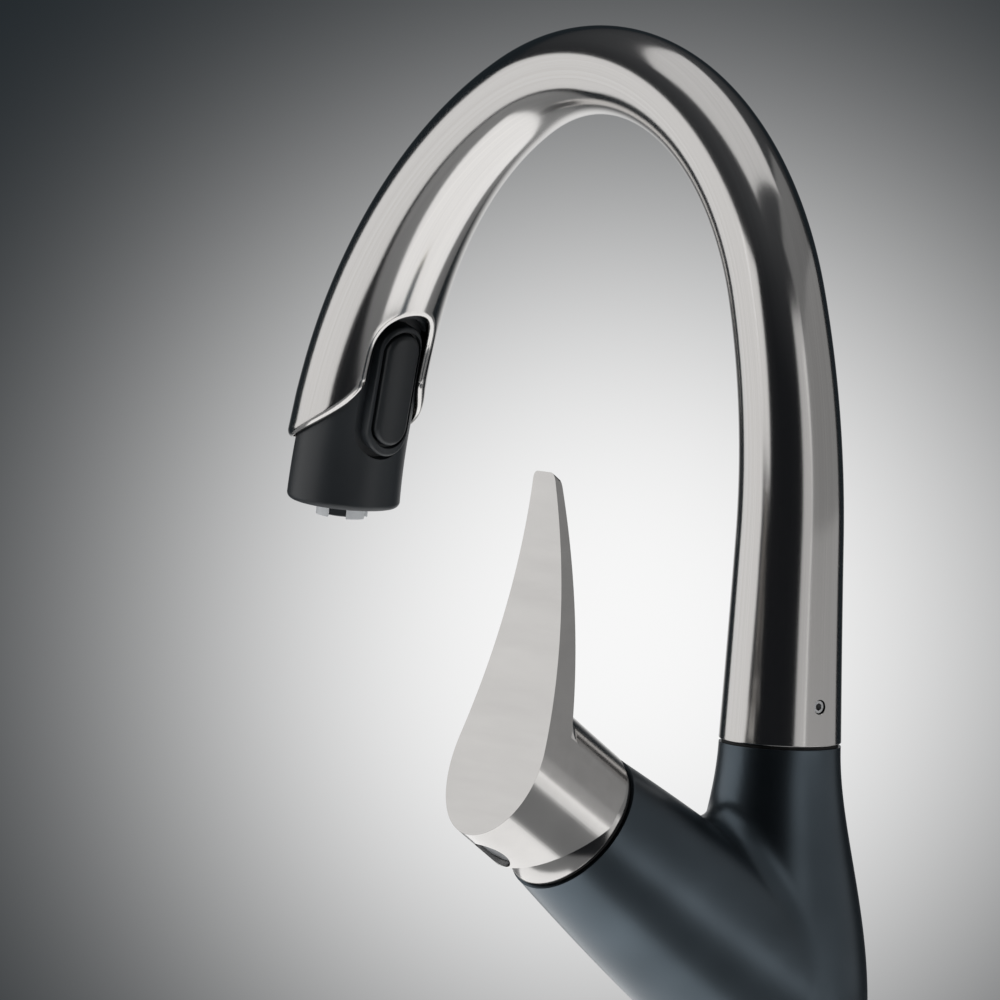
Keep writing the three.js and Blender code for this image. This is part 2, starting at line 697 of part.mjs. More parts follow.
// A slab with a rounded rim, standing out along Y from the axis.
function paddedSlab(shape, base, face, edge) {
  const geometry = new THREE.ExtrudeGeometry(sided(shape, 10), {
    depth: face - edge - base,
    bevelThickness: edge,
    bevelSize: edge,
    bevelOffset: -edge,
    bevelSegments: 3,
  });
  return geometry.rotateX(-Math.PI / 2).scale(1, 1, -1).translate(0, base, 0);
}

// The raised pad round the button and the tongue that fills the window.
function sprayPanel() {
  const tongueShape = stadium(SPRAY_TONGUE_HALF_WIDTH, -SPRAY_TONGUE_HALF_WIDTH, SPRAY_TONGUE_TOP);
  const reach = 2 * PAD_FACE;
  const tongue = common(
    prism(tongueShape, X, Z, reach, 8).translate(0, reach / 2, 0),
    rod(SPRAY_TONGUE_RADIUS, 0, SPRAY_TONGUE_TOP + 1, SIDES_LARGE),
  );
  const padShape = stadium(PAD_HALF_WIDTH, PAD_BOTTOM, PAD_TOP);
  return join(tongue, lean(paddedSlab(padShape, 0, PAD_FACE, PAD_EDGE)));
}

function spraySolid() {
  const plug = rod(SPRAY_PLUG_RADIUS, 0, SPRAY_PLUG_TOP, SIDES_MEDIUM);
  const collar = rod(SPRAY_COLLAR_RADIUS, SPRAY_PLUG_TOP - 1, SPRAY_COLLAR_TOP, 24);
  return join(sprayBarrel(), sprayPanel(), plug, collar);
}

function sprayShell() {
  const mouthDepth = NOZZLE_PLATE_SINK + NOZZLE_PLATE_THICKNESS + SEAT_GAP;
  const mouth = rod(NOZZLE_PLATE_RADIUS + SEAT_GAP, -5, mouthDepth, SIDES_MEDIUM).applyMatrix4(mouthInDock);
  const chamber = rod(VALVE_CHAMBER_RADIUS, 0, VALVE_CHAMBER_TOP - mouthFrame.position.z, 24);
  chamber.applyMatrix4(mouthInDock);
  const waterway = rod(SPRAY_WATERWAY_RADIUS, 0, 2 * SPRAY_COLLAR_TOP, SIDES_SMALL);
  const pocketLow = BUTTON_MIDDLE - BUTTON_HALF_LENGTH - RUNNING_GAP;
  const pocketHigh = BUTTON_MIDDLE + BUTTON_HALF_LENGTH + RUNNING_GAP;
  const pocketFloor = BUTTON_FACE - BUTTON_THICKNESS - BUTTON_TRAVEL - RUNNING_GAP;
  const pocketShape = stadium(BUTTON_HALF_WIDTH + RUNNING_GAP, pocketLow, pocketHigh);
  const pocket = lean(prism(pocketShape, X, Z, PAD_FACE, 10).translate(0, pocketFloor + PAD_FACE / 2, 0));
  const boreFloor = SPOOL_TOP - SPOOL_LENGTH - 2 * BUTTON_TRAVEL;
  const spoolBore = rod(SPOOL_RADIUS + RUNNING_GAP, boreFloor, BUTTON_FACE, SIDES_SMALL);
  spoolBore.rotateX(-Math.PI / 2).translate(0, 0, BUTTON_MIDDLE);
  return cut(spraySolid(), mouth, chamber, waterway, pocket, spoolBore);
}

function sprayButton() {
  const low = BUTTON_MIDDLE - BUTTON_HALF_LENGTH;
  const shape = stadium(BUTTON_HALF_WIDTH, low, BUTTON_MIDDLE + BUTTON_HALF_LENGTH);
  const back = BUTTON_FACE - BUTTON_THICKNESS;
  const middle = [0, BUTTON_FACE - BUTTON_THICKNESS / 2, BUTTON_MIDDLE];
  const range = block(4 * BUTTON_HALF_WIDTH, BUTTON_THICKNESS, 4 * BUTTON_HALF_LENGTH, middle);
  return lean(common(paddedSlab(shape, back, BUTTON_FACE, BUTTON_EDGE), range));
}

function diverterSpool() {
  const top = SPOOL_TOP;
  const waist = SPOOL_RADIUS * SPOOL_WAIST;
  const bottom = top - SPOOL_LENGTH;
  const landTop = top - SPOOL_NECK;
  const landBottom = landTop - SPOOL_UPPER_LAND;
  const profile = [
    [0, bottom],
    [SPOOL_RADIUS, bottom],
    [SPOOL_RADIUS, bottom + SPOOL_LAND],
    [waist, bottom + SPOOL_LAND + SPOOL_CONE],
    [waist, landBottom - SPOOL_CONE],
    [SPOOL_RADIUS, landBottom],
    [SPOOL_RADIUS, landTop],
    [waist, landTop],
    [waist, top],
    [0, top],
  ];
  return revolve(profile, SIDES_SMALL).rotateX(-Math.PI / 2).translate(0, 0, BUTTON_MIDDLE);
}

addPart(dockFrame, "spray_shell", sprayShell(), blackPlastic);
addPart(dockFrame, "spray_button", sprayButton(), blackPlastic);
addPart(dockFrame, "diverter_spool", diverterSpool(), whitePlastic);

// Return spring of the button, round the spool's waist, at its pressed length.
function buttonSpring() {
  const turns = 3;
  const steps = turns * 8;
  const wire = 0.3;
  const radius = SPOOL_RADIUS * SPOOL_WAIST + wire + RUNNING_GAP / 2;
  const waistLength = SPOOL_LENGTH - SPOOL_LAND - SPOOL_UPPER_LAND - SPOOL_NECK - 2 * SPOOL_CONE;
  const low = SPOOL_TOP - SPOOL_LENGTH + SPOOL_LAND + SPOOL_CONE + wire + SEAT_GAP;
  const rise = waistLength - 2 * wire - 2 * SEAT_GAP - BUTTON_TRAVEL;
  const points = Array.from({ length: steps + 1 }, (_, i) => {
    const angle = (2 * Math.PI * turns * i) / steps;
    return new THREE.Vector3(radius * Math.cos(angle), low + (rise * i) / steps, radius * Math.sin(angle));
  });
  const section = new THREE.Shape();
  section.absarc(0, 0, wire, 0, 2 * Math.PI, false);
  const path = new THREE.CatmullRomCurve3(points);
  const coil = new THREE.ExtrudeGeometry(section, { steps, curveSegments: 3, extrudePath: path });
  return coil.translate(0, 0, BUTTON_MIDDLE);
}
addPart(dockFrame, "button_spring", buttonSpring(), zincSteel);

// Parts of the spray's mouth, in the frame of its rim.
function nozzlePlate() {
  const low = NOZZLE_PLATE_SINK;
  const high = NOZZLE_PLATE_SINK + NOZZLE_PLATE_THICKNESS;
  const plate = ring(AERATOR_RADIUS + SEAT_GAP, NOZZLE_PLATE_RADIUS, low, high);
  const nozzles = Array.from({ length: NOZZLE_COUNT }, (_, i) => {
    const angle = (2 * Math.PI * i) / NOZZLE_COUNT;
    const nozzle = new THREE.CylinderGeometry(0.95, 0.6, 1.4, 6).rotateX(Math.PI / 2);
    return nozzle.translate(NOZZLE_CIRCLE * Math.cos(angle), NOZZLE_CIRCLE * Math.sin(angle), low - 0.4);
  });
  return join(plate, ...nozzles);
}

function aeratorRing() {
  const inner = AERATOR_RADIUS - AERATOR_WALL;
  const body = ring(inner, AERATOR_RADIUS, -AERATOR_DROP, AERATOR_HEIGHT - AERATOR_DROP, SIDES_MEDIUM);
  const notches = Array.from({ length: AERATOR_NOTCHES / 2 }, (_, i) => {
    const slot = block(4 * AERATOR_RADIUS, AERATOR_NOTCH_WIDTH, 2 * AERATOR_NOTCH_HEIGHT);
    return slot.translate(0, 0, -AERATOR_DROP).rotateZ((2 * Math.PI * (i + 0.5)) / AERATOR_NOTCHES);
  });
  return cut(body, ...notches);
}

function aeratorInsert() {
  const radius = AERATOR_RADIUS - AERATOR_WALL - SEAT_GAP;
  const low = AERATOR_INSERT_RECESS - AERATOR_DROP;
  const high = AERATOR_HEIGHT - AERATOR_DROP;
  const bulge = AERATOR_INSERT_RECESS / 2;
  const face = [[0, low - bulge], [radius * 0.6, low - bulge], [radius, low]];
  return revolve([...face, [radius, high], [0, high]], 24);
}

addPart(mouthFrame, "nozzle_plate", nozzlePlate(), greyPlastic);
addPart(mouthFrame, "aerator_ring", aeratorRing(), whitePlastic);
addPart(mouthFrame, "aerator_insert", aeratorInsert(), blackPlastic);

function hoseConnector() {
  const low = SPRAY_PLUG_TOP - CONNECTOR_INSERTION;
  const hexTop = SPRAY_COLLAR_TOP + SEAT_GAP + CONNECTOR_HEX;
  const tail = revolve(
    [
      [0, low],
      [SPRAY_WATERWAY_RADIUS - SEAT_GAP, low],
      [SPRAY_WATERWAY_RADIUS - SEAT_GAP, SPRAY_COLLAR_TOP + SEAT_GAP],
      [CONNECTOR_RADIUS, SPRAY_COLLAR_TOP + SEAT_GAP],
      [CONNECTOR_RADIUS, hexTop],
      [0, hexTop],
    ],
    SIDES_SMALL,
  );
  return cut(tail, rod(HOSE_RADIUS * 0.5, low - 1, hexTop + 1, 12));
}
addPart(dockFrame, "hose_connector", hoseConnector(), brass);

// ---------------------------------------------------------------- pull-out hose

function sprayHose() {
  const start = SPRAY_COLLAR_TOP + 2 * SEAT_GAP + CONNECTOR_HEX;
  const inDock = (rise) => new THREE.Vector3(0, 0, rise).applyMatrix4(dockInSpout);
  const points = [inDock(start), inDock(start + HOSE_LEAD)];
  const spacing = 24;
  for (let along = SPOUT_LENGTH - start - HOSE_CURVE; along > 0; along -= spacing) {
    points.push(spoutPoint(along).position);
  }
  const bottom = HOSE_END - NECK_HEIGHT;
  for (let height = -spacing; height > bottom + spacing / 2; height -= spacing) {
    points.push(new THREE.Vector3(0, 0, height));
  }
  points.push(new THREE.Vector3(0, 0, bottom));
  const path = new THREE.CatmullRomCurve3(points, false, "centripetal");
  const section = new THREE.Shape();
  section.absarc(0, 0, HOSE_RADIUS, 0, 2 * Math.PI, false);
  return new THREE.ExtrudeGeometry(section, { steps: 54, curveSegments: 4, extrudePath: path });
}

function hoseCoupling() {
  const top = HOSE_END - SEAT_GAP;
  const hex = rod(COUPLING_RADIUS, top - COUPLING_LENGTH, top, 6);
  return cut(hex, rod(HOSE_RADIUS * 0.6, top - COUPLING_LENGTH - 1, top - 4, 12));
}

addPart(spoutFrame, "spray_hose", sprayHose(), braid);
addPart(mixer, "hose_coupling", hoseCoupling(), brass);

// ---------------------------------------------------------------- body casting

// Half outline of the column, from the neck down to the foot.
function columnOutline(steps) {
  const upper = new THREE.CubicBezierCurve(
    new THREE.Vector2(NECK_RADIUS, NECK_HEIGHT),
    new THREE.Vector2(NECK_RADIUS + NECK_LEAN, NECK_HEIGHT - NECK_FLARE),
    new THREE.Vector2(BELLY_RADIUS, BELLY_HEIGHT + BELLY_RISE),
    new THREE.Vector2(BELLY_RADIUS, BELLY_HEIGHT),
  );
  const lower = new THREE.CubicBezierCurve(
    new THREE.Vector2(BELLY_RADIUS, BELLY_HEIGHT),
    new THREE.Vector2(BELLY_RADIUS, BELLY_HEIGHT - BELLY_FALL),
    new THREE.Vector2(FOOT_RADIUS + FOOT_LEAN, FOOT_HEIGHT + FOOT_FLARE),
    new THREE.Vector2(FOOT_RADIUS, FOOT_HEIGHT),
  );
  return [...upper.getPoints(steps), ...lower.getPoints(steps).slice(1)];
}
const columnCurve = columnOutline(60);

// Nearest point of the column's surface to a point outside it.
function nearestOnColumn(point) {
  const distance = Math.hypot(point.x, point.y);
  let best = { gap: Infinity };
  for (let i = 0; i + 1 < columnCurve.length; i += 1) {
    const a = columnCurve[i];
    const b = columnCurve[i + 1];
    const along = new THREE.Vector2().subVectors(b, a);
    const rest = new THREE.Vector2(distance, point.z).sub(a);
    const share = THREE.MathUtils.clamp(rest.dot(along) / along.lengthSq(), 0, 1);
    const near = a.clone().addScaledVector(along, share);
    const gap = Math.hypot(distance - near.x, point.z - near.y);
    if (gap < best.gap) best = { gap, near };
  }
  const scale = best.near.x / distance;
  const place = new THREE.Vector3(point.x * scale, point.y * scale, best.near.y);
  return { gap: distance > best.near.x ? best.gap : -best.gap, place };
}

function branchRadius(along) {
  const share = THREE.MathUtils.clamp((along + BRANCH_ROOT_DEPTH) / (BRANCH_MOUTH + BRANCH_ROOT_DEPTH), 0, 1);
  return BRANCH_ROOT_RADIUS - (BRANCH_ROOT_RADIUS - BRANCH_MOUTH_RADIUS) * share ** BRANCH_TAPER;
}

function branchSolid() {
  const steps = 6;
  const profile = [[0, -BRANCH_ROOT_DEPTH]];
  for (let i = 0; i <= steps; i += 1) {
    const along = -BRANCH_ROOT_DEPTH + ((BRANCH_MOUTH + BRANCH_ROOT_DEPTH) * i) / steps;
    profile.push([branchRadius(along), along]);
  }
  profile.push([0, BRANCH_MOUTH]);
  return revolve(profile, SIDES_LARGE).applyMatrix4(branchInWorld);
}

const inBranch = (x, y, z) => new THREE.Vector3(x, y, z).applyMatrix4(branchInWorld);

// Rolling-ball fillet between the branch and the column, all the way round.
function crotchFillet() {
  const sections = [];
  const around = 36;
  const arcSteps = 4;
  const sink = 0.4;
  const axis = new THREE.Vector3(0, 0, 1).transformDirection(branchInWorld);
  for (let i = 0; i < around; i += 1) {
    const turn = (2 * Math.PI * i) / around;
    const out = new THREE.Vector3(-Math.cos(turn), Math.sin(turn), 0).transformDirection(branchInWorld);
    const topShare = (1 + Math.cos(turn)) / 2;
    const radius = BELLY_FILLET + (CROTCH_FILLET - BELLY_FILLET) * topShare ** 0.7;
    const ball = (along) => {
      const slope = branchRadius(along - 0.5) - branchRadius(along + 0.5);
      const normal = out.clone().addScaledVector(axis, slope).normalize();
      const foot = inBranch(0, 0, along).addScaledVector(out, branchRadius(along));
      return { foot, normal, centre: foot.clone().addScaledVector(normal, radius) };
    };
    let near = -BRANCH_ROOT_DEPTH;
    let far = BRANCH_MOUTH;
    for (let k = 0; k < 40; k += 1) {
      const middle = (near + far) / 2;
      if (nearestOnColumn(ball(middle).centre).gap > radius) far = middle;
      else near = middle;
    }
    const { foot, normal, centre } = ball(far);
    const touch = nearestOnColumn(centre).place;
    const start = foot.clone().sub(centre);
    const end = touch.clone().sub(centre);
    const angle = start.angleTo(end);
    const section = [foot.clone().addScaledVector(normal, -sink)];
    for (let k = 0; k <= arcSteps; k += 1) {
      const share = k / arcSteps;
      const a = Math.sin((1 - share) * angle) / Math.sin(angle);
      const b = Math.sin(share * angle) / Math.sin(angle);
      section.push(centre.clone().addScaledVector(start, a).addScaledVector(end, b));
    }
    section.push(touch.clone().addScaledVector(end.clone().normalize(), sink));
    const inward = start.clone().normalize().add(end.clone().normalize()).normalize();
    section.push(centre.clone().addScaledVector(inward, radius / Math.cos(angle / 2) + 3));
    sections.push(section);
  }
  return loft(sections, true);
}

function bodyCasting() {
  const outline = columnOutline(7).map((point) => [point.x, point.y]);
  const column = revolve([[0, NECK_HEIGHT], ...outline, [0, FOOT_HEIGHT]], SIDES_LARGE);
  const shell = join(column, branchSolid(), crotchFillet());

  const shankBore = rod(SHANK_RADIUS + SEAT_GAP, FOOT_HEIGHT - 5, SHANK_TOP + SEAT_GAP / 2, SIDES_MEDIUM);
  const manifoldBore = rod(MANIFOLD_RADIUS + SEAT_GAP, SHANK_TOP, MANIFOLD_TOP + SEAT_GAP, SIDES_MEDIUM);
  const hosePassage = rod(HOSE_PASSAGE_RADIUS, MANIFOLD_BASE, NECK_HEIGHT - 5, 24);
  hosePassage.translate(HOSE_PASSAGE_OFFSET, 0, 0);
  const nippleSeat = NECK_HEIGHT - NIPPLE_THREAD_LENGTH - SEAT_GAP;
  const nippleBore = rod(NIPPLE_THREAD_RADIUS + SEAT_GAP, nippleSeat, NECK_HEIGHT + 5, SIDES_MEDIUM);
  const chamber = rod(CHAMBER_RADIUS, CHAMBER_FLOOR, DOME_TOP, SIDES_MEDIUM).applyMatrix4(branchInWorld);
  const thread = rod(THREAD_RADIUS, HOUSING_SHOULDER, DOME_TOP, SIDES_MEDIUM).applyMatrix4(branchInWorld);

  const drillings = [
    [INLET_X, INLET_Y, -PORT_UP, PORT_Y],
    [INLET_X, -INLET_Y, -PORT_UP, -PORT_Y],
    [OUTLET_X, 0, OUTLET_DOWN, 0],
  ];
  const waterways = drillings.map(([lowX, lowY, highX, highY]) => {
    const low = new THREE.Vector3(lowX, lowY, MANIFOLD_TOP);
    const high = inBranch(highX, highY, CHAMBER_FLOOR + 1);
    return rodBetween(low, high, WATERWAY_RADIUS, 12);
  });
  return cut(shell, shankBore, manifoldBore, hosePassage, nippleBore, chamber, thread, ...waterways);
}
addPart(mixer, "body", bodyCasting(), anthracite);

// Brass block with the sockets of the two supply hoses and the outlet.
function inletManifold() {
  const plug = rod(MANIFOLD_RADIUS, MANIFOLD_BASE, MANIFOLD_TOP, SIDES_MEDIUM);
  const hoseHole = rod(HOSE_PASSAGE_RADIUS, MANIFOLD_BASE - 1, MANIFOLD_TOP + 1, 24);
  hoseHole.translate(HOSE_PASSAGE_OFFSET, 0, 0);
  const places = [
    [INLET_X, INLET_Y],
    [INLET_X, -INLET_Y],
    [OUTLET_X, 0],
  ];
  const sockets = places.flatMap(([x, y]) => [
    rod(INLET_SOCKET_RADIUS, MANIFOLD_BASE - 1, MANIFOLD_BASE + INLET_SOCKET_DEPTH, 16).translate(x, y, 0),
    rod(WATERWAY_RADIUS, MANIFOLD_BASE, MANIFOLD_TOP + 1, 12).translate(x, y, 0),
  ]);
  return cut(plug, hoseHole, ...sockets);
}
addPart(mixer, "inlet_manifold", inletManifold(), brass);

// ---------------------------------------------------------------- fixing to the worktop

function baseRing() {
  const inner = SHANK_RADIUS + SEAT_GAP;
  const outer = BASE_RING_RADIUS;
  const edge = BASE_RING_EDGE;
  const grooveDepth = BASE_SEAL_HEIGHT + SEAT_GAP;
  return revolve(
    [
      [inner, 0],
      [BASE_SEAL_INNER - SEAT_GAP, 0],
      [BASE_SEAL_INNER - SEAT_GAP, grooveDepth],
      [BASE_SEAL_OUTER + SEAT_GAP, grooveDepth],
      [BASE_SEAL_OUTER + SEAT_GAP, 0],
      [outer - edge, 0],
      [outer, edge],
      ...arc(outer - edge, BASE_RING_HEIGHT - edge, edge, 0, 90, 3),
      [inner, BASE_RING_HEIGHT],
      [inner, 0],
    ],
    SIDES_LARGE,
  );
}

addPart(mixer, "base_ring", baseRing(), satinSteel);
addPart(mixer, "base_seal", ring(BASE_SEAL_INNER, BASE_SEAL_OUTER, 0, BASE_SEAL_HEIGHT), rubber);
addPart(mixer, "mounting_shank", ring(SHANK_BORE, SHANK_RADIUS, -SHANK_BELOW, SHANK_TOP), zincSteel);

const CLAMP_BORE = SHANK_RADIUS + SEAT_GAP;
const sealLow = -WORKTOP_THICKNESS - CLAMP_SEAL_THICKNESS;
const washerLow = sealLow - CLAMP_WASHER_THICKNESS;
addPart(mixer, "clamp_seal", ring(CLAMP_BORE, CLAMP_RADIUS, sealLow, -WORKTOP_THICKNESS), rubber);
addPart(mixer, "clamp_washer", ring(CLAMP_BORE, CLAMP_RADIUS, washerLow, sealLow), zincSteel);

function clampNut() {
  const hex = rod(CLAMP_NUT_RADIUS, washerLow - CLAMP_NUT_HEIGHT, washerLow, 6);
  const round = revolve(
    [
      [0, washerLow - CLAMP_NUT_HEIGHT],
      [CLAMP_NUT_RADIUS - 2.4, washerLow - CLAMP_NUT_HEIGHT],
      [CLAMP_NUT_RADIUS, washerLow - CLAMP_NUT_HEIGHT + 1.6],
      [CLAMP_NUT_RADIUS, washerLow],
      [0, washerLow],
    ],
    SIDES_MEDIUM,
  );
  const bore = rod(CLAMP_BORE, washerLow - CLAMP_NUT_HEIGHT - 1, washerLow + 1, SIDES_MEDIUM);
  return cut(common(hex, round), bore);
}
addPart(mixer, "clamp_nut", clampNut(), brass);

// ---------------------------------------------------------------- swivel joint

const glideSeats = [GLIDE_RING_LOW, GLIDE_RING_HIGH];

function swivelNipple() {
  const low = -NIPPLE_THREAD_LENGTH;
  const groove = NIPPLE_RADIUS - GLIDE_RING_DEPTH;
  const profile = [
    [NIPPLE_BORE, low],
    [NIPPLE_THREAD_RADIUS, low],
    [NIPPLE_THREAD_RADIUS, -0.5],
    [NIPPLE_RADIUS, 0],
  ];
  for (const seat of glideSeats) {
    const grooveLow = seat - SEAT_GAP;
    const grooveHigh = seat + GLIDE_RING_HEIGHT + SEAT_GAP;
    profile.push([NIPPLE_RADIUS, grooveLow], [groove, grooveLow]);
    profile.push([groove, grooveHigh], [NIPPLE_RADIUS, grooveHigh]);
  }
  profile.push([NIPPLE_RADIUS, NIPPLE_HEIGHT - 1], [NIPPLE_RADIUS - 1, NIPPLE_HEIGHT]);
  profile.push([NIPPLE_BORE, NIPPLE_HEIGHT], [NIPPLE_BORE, low]);

  // The set screw's tip runs in this groove, and its ends stop the spout.
  const half = radians(SWIVEL_LIMIT) + (SET_SCREW_RADIUS + RUNNING_GAP) / SET_SCREW_TIP;
  const stop = new THREE.Shape();
  const inner = NIPPLE_RADIUS - STOP_GROOVE_DEPTH;
  stop.absarc(0, 0, NIPPLE_RADIUS + 2, Math.PI / 2 - half, Math.PI / 2 + half, false);
  stop.absarc(0, 0, inner, Math.PI / 2 + half, Math.PI / 2 - half, true);
  stop.closePath();
  const grooveCutter = new THREE.ExtrudeGeometry(sided(stop, 16), {
    depth: STOP_GROOVE_HEIGHT,
    bevelEnabled: false,
  }).translate(0, 0, SET_SCREW_HEIGHT - STOP_GROOVE_HEIGHT / 2);
  return cut(revolve(profile, SIDES_MEDIUM), grooveCutter);
}
addPart(spoutFrame, "swivel_nipple", swivelNipple(), brass);

["glide_ring_lower", "glide_ring_upper"].forEach((name, i) => {
  const low = glideSeats[i];
  addPart(spoutFrame, name, ring(GLIDE_INNER, GLIDE_OUTER, low, low + GLIDE_RING_HEIGHT, 28), whitePlastic);
});
const neckWasher = ring(NIPPLE_RADIUS + SEAT_GAP, NECK_WASHER_RADIUS, 0, NECK_WASHER_THICKNESS);
addPart(spoutFrame, "neck_washer", neckWasher, rubber);

// ---------------------------------------------------------------- cartridge

function cartridgeHousing() {
  const cavityTop = CARRIER_TOP + SEAT_GAP / 2;
  const shoulder = HOUSING_SHOULDER;
  const body = revolve(
    [
      [0, HOUSING_BASE],
      [HOUSING_RADIUS, HOUSING_BASE],
      [HOUSING_RADIUS, shoulder],
      [TOWER_RADIUS, shoulder],
      [TOWER_RADIUS, TOWER_TOP],
      [TOWER_BORE, TOWER_TOP],
      [TOWER_BORE, cavityTop],
      [DISC_CAVITY_RADIUS, cavityTop],
      [DISC_CAVITY_RADIUS, HOUSING_BASE + HOUSING_FLOOR],
      [0, HOUSING_BASE + HOUSING_FLOOR],
    ],
    SIDES_MEDIUM,
  );
  return cut(body, ...portRods(HOUSING_BASE - 1, HOUSING_BASE + HOUSING_FLOOR + 1));
}

// The two inlet ports and the outlet port, as rods along the cartridge axis.
function portRods(low, high) {
  const places = [
    [-PORT_UP, PORT_Y],
    [-PORT_UP, -PORT_Y],
    [OUTLET_DOWN, 0],
  ];
  return places.map(([x, y]) => rod(PORT_RADIUS, low, high, 12).translate(x, y, 0));
}

function portSeal() {
  const low = CHAMBER_FLOOR + SEAT_GAP;
  const plate = rod(PORT_SEAL_RADIUS, low, low + SEAL_THICKNESS, 28);
  return cut(plate, ...portRods(low - 1, low + SEAL_THICKNESS + 1));
}

function movingDisc() {
  const disc = rod(MOVING_DISC_RADIUS, MOVING_DISC_BASE, MOVING_DISC_BASE + DISC_THICKNESS, 28);
  const pocket = new THREE.CylinderGeometry(5, 5, 4, 16).rotateX(Math.PI / 2).scale(1.3, 1, 1);
  pocket.translate(2, 0, MOVING_DISC_BASE);
  return cut(disc, pocket).translate(DISC_SHIFT, 0, 0);
}

function discCarrier() {
  const body = rod(MOVING_DISC_RADIUS, CARRIER_BASE, CARRIER_TOP, 28);
  const socket = rod(FINGER_RADIUS + FINGER_PLAY, FINGER_TIP - 1, CARRIER_TOP + 1, SIDES_SMALL);
  return cut(body.translate(DISC_SHIFT, 0, 0), socket);
}

function cartridgeRotor() {
  const high = ROTOR_BASE + ROTOR_HEIGHT;
  const body = rod(TOWER_BORE - RUNNING_GAP, ROTOR_BASE, high, 28);
  const slotHeight = 4 * ROTOR_HEIGHT;
  const slot = block(2 * ROTOR_SLOT_HALF_LENGTH, 2 * ROTOR_SLOT_HALF_WIDTH, slotHeight, [0, 0, ROTOR_BASE]);
  return cut(body, slot, pinRod(PIN_RADIUS + SEAT_GAP, 2 * PIN_HALF_LENGTH));
}

// A rod along the pivot's axis, for the pin and its holes.
function pinRod(radius, halfLength) {
  return rod(radius, -halfLength, halfLength, 16).rotateX(Math.PI / 2).translate(0, 0, -PIVOT_DEPTH);
}

function leverSpindle() {
  const paddleLow = -PIVOT_DEPTH - 4;
  const paddleHeight = 1 - paddleLow;
  const paddleMiddle = [0, 0, paddleLow + paddleHeight / 2];
  const paddle = block(2 * SPINDLE_HALF, 2 * SPINDLE_PADDLE_HALF, paddleHeight, paddleMiddle);
  const square = block(2 * SPINDLE_HALF, 2 * SPINDLE_HALF, SPINDLE_TOP, [0, 0, SPINDLE_TOP / 2]);
  const finger = rod(FINGER_RADIUS, FINGER_TIP, paddleLow + 1, SIDES_SMALL);
  return cut(join(paddle, square, finger), pinRod(PIN_RADIUS + RUNNING_GAP, 2 * PIN_HALF_LENGTH));
}

function cartridgeNut() {
  const low = NUT_TOP - NUT_HEIGHT;
  const body = ring(NUT_BORE, NUT_RADIUS, low, NUT_TOP, SIDES_MEDIUM);
  const slots = Array.from({ length: NUT_SLOTS / 2 }, (_, i) => {
    return block(4 * NUT_RADIUS, 3.6, 4, [0, 0, NUT_TOP]).rotateZ((Math.PI * i) / (NUT_SLOTS / 2));
  });
  return cut(body, ...slots);
}

function domeRing() {
  const topRadius = Math.sqrt(DOME_RADIUS ** 2 - (DOME_TOP + PIVOT_DEPTH) ** 2);
  const lowAngle = THREE.MathUtils.radToDeg(Math.asin(PIVOT_DEPTH / DOME_RADIUS));
  const highAngle = THREE.MathUtils.radToDeg(Math.acos(topRadius / DOME_RADIUS));
  const skirt = NUT_RADIUS;
  const inner = skirt - 1.8;
  return revolve(
    [
      [inner, -DOME_SKIRT],
      [skirt, -DOME_SKIRT],
      [skirt, 0],
      ...arc(0, -PIVOT_DEPTH, DOME_RADIUS, lowAngle, highAngle, 4),
      [DOME_HOLE, DOME_TOP],
      [DOME_HOLE, DOME_TOP - 1.8],
      [inner - 1.6, DOME_TOP - 3],
      [inner, 1],
      [inner, -DOME_SKIRT],
    ],
    SIDES_LARGE,
  );
}

const gasketLow = BRANCH_MOUTH + SEAT_GAP;
addPart(branchFrame, "cartridge_housing", cartridgeHousing(), whitePlastic);
addPart(branchFrame, "port_seal", portSeal(), rubber);
const fixedDisc = rod(FIXED_DISC_RADIUS, FIXED_DISC_BASE, FIXED_DISC_BASE + DISC_THICKNESS, 28);
addPart(branchFrame, "fixed_disc", cut(fixedDisc, ...portRods(HOUSING_BASE, 0)), ceramic);
addPart(branchFrame, "moving_disc", movingDisc(), ceramic);
addPart(branchFrame, "disc_carrier", discCarrier(), greyPlastic);
addPart(branchFrame, "cartridge_rotor", cartridgeRotor(), greyPlastic);
addPart(branchFrame, "pivot_pin", pinRod(PIN_RADIUS, PIN_HALF_LENGTH), zincSteel);
addPart(branchFrame, "lever_spindle", leverSpindle(), brass);
addPart(branchFrame, "cartridge_nut", cartridgeNut(), brass);
addPart(branchFrame, "dome_ring", domeRing(), satinSteel);
addPart(
  branchFrame,
  "trim_gasket",
  ring(THREAD_RADIUS, GASKET_RADIUS, gasketLow, gasketLow + GASKET_THICKNESS, SIDES_LARGE),
  rubber,
);

// ---------------------------------------------------------------- lever

const ALONG_BRANCH = new THREE.Vector3(0, 0, 1);
const UP_BRANCH = new THREE.Vector3(-1, 0, 0);

// A point of the lever's concave face. The distance runs from its middle towards the tip.
function facePoint(distance) {
  const tilt = radians(FACE_TILT);
  const turn = distance / FACE_RADIUS;
  const up = FACE_RADIUS * Math.sin(turn);
  const out = FACE_RADIUS * (1 - Math.cos(turn));
  return new THREE.Vector2(
    FACE_MIDDLE_A + up * Math.sin(tilt) + out * Math.cos(tilt),
    FACE_MIDDLE_E + up * Math.cos(tilt) - out * Math.sin(tilt),
  );
}

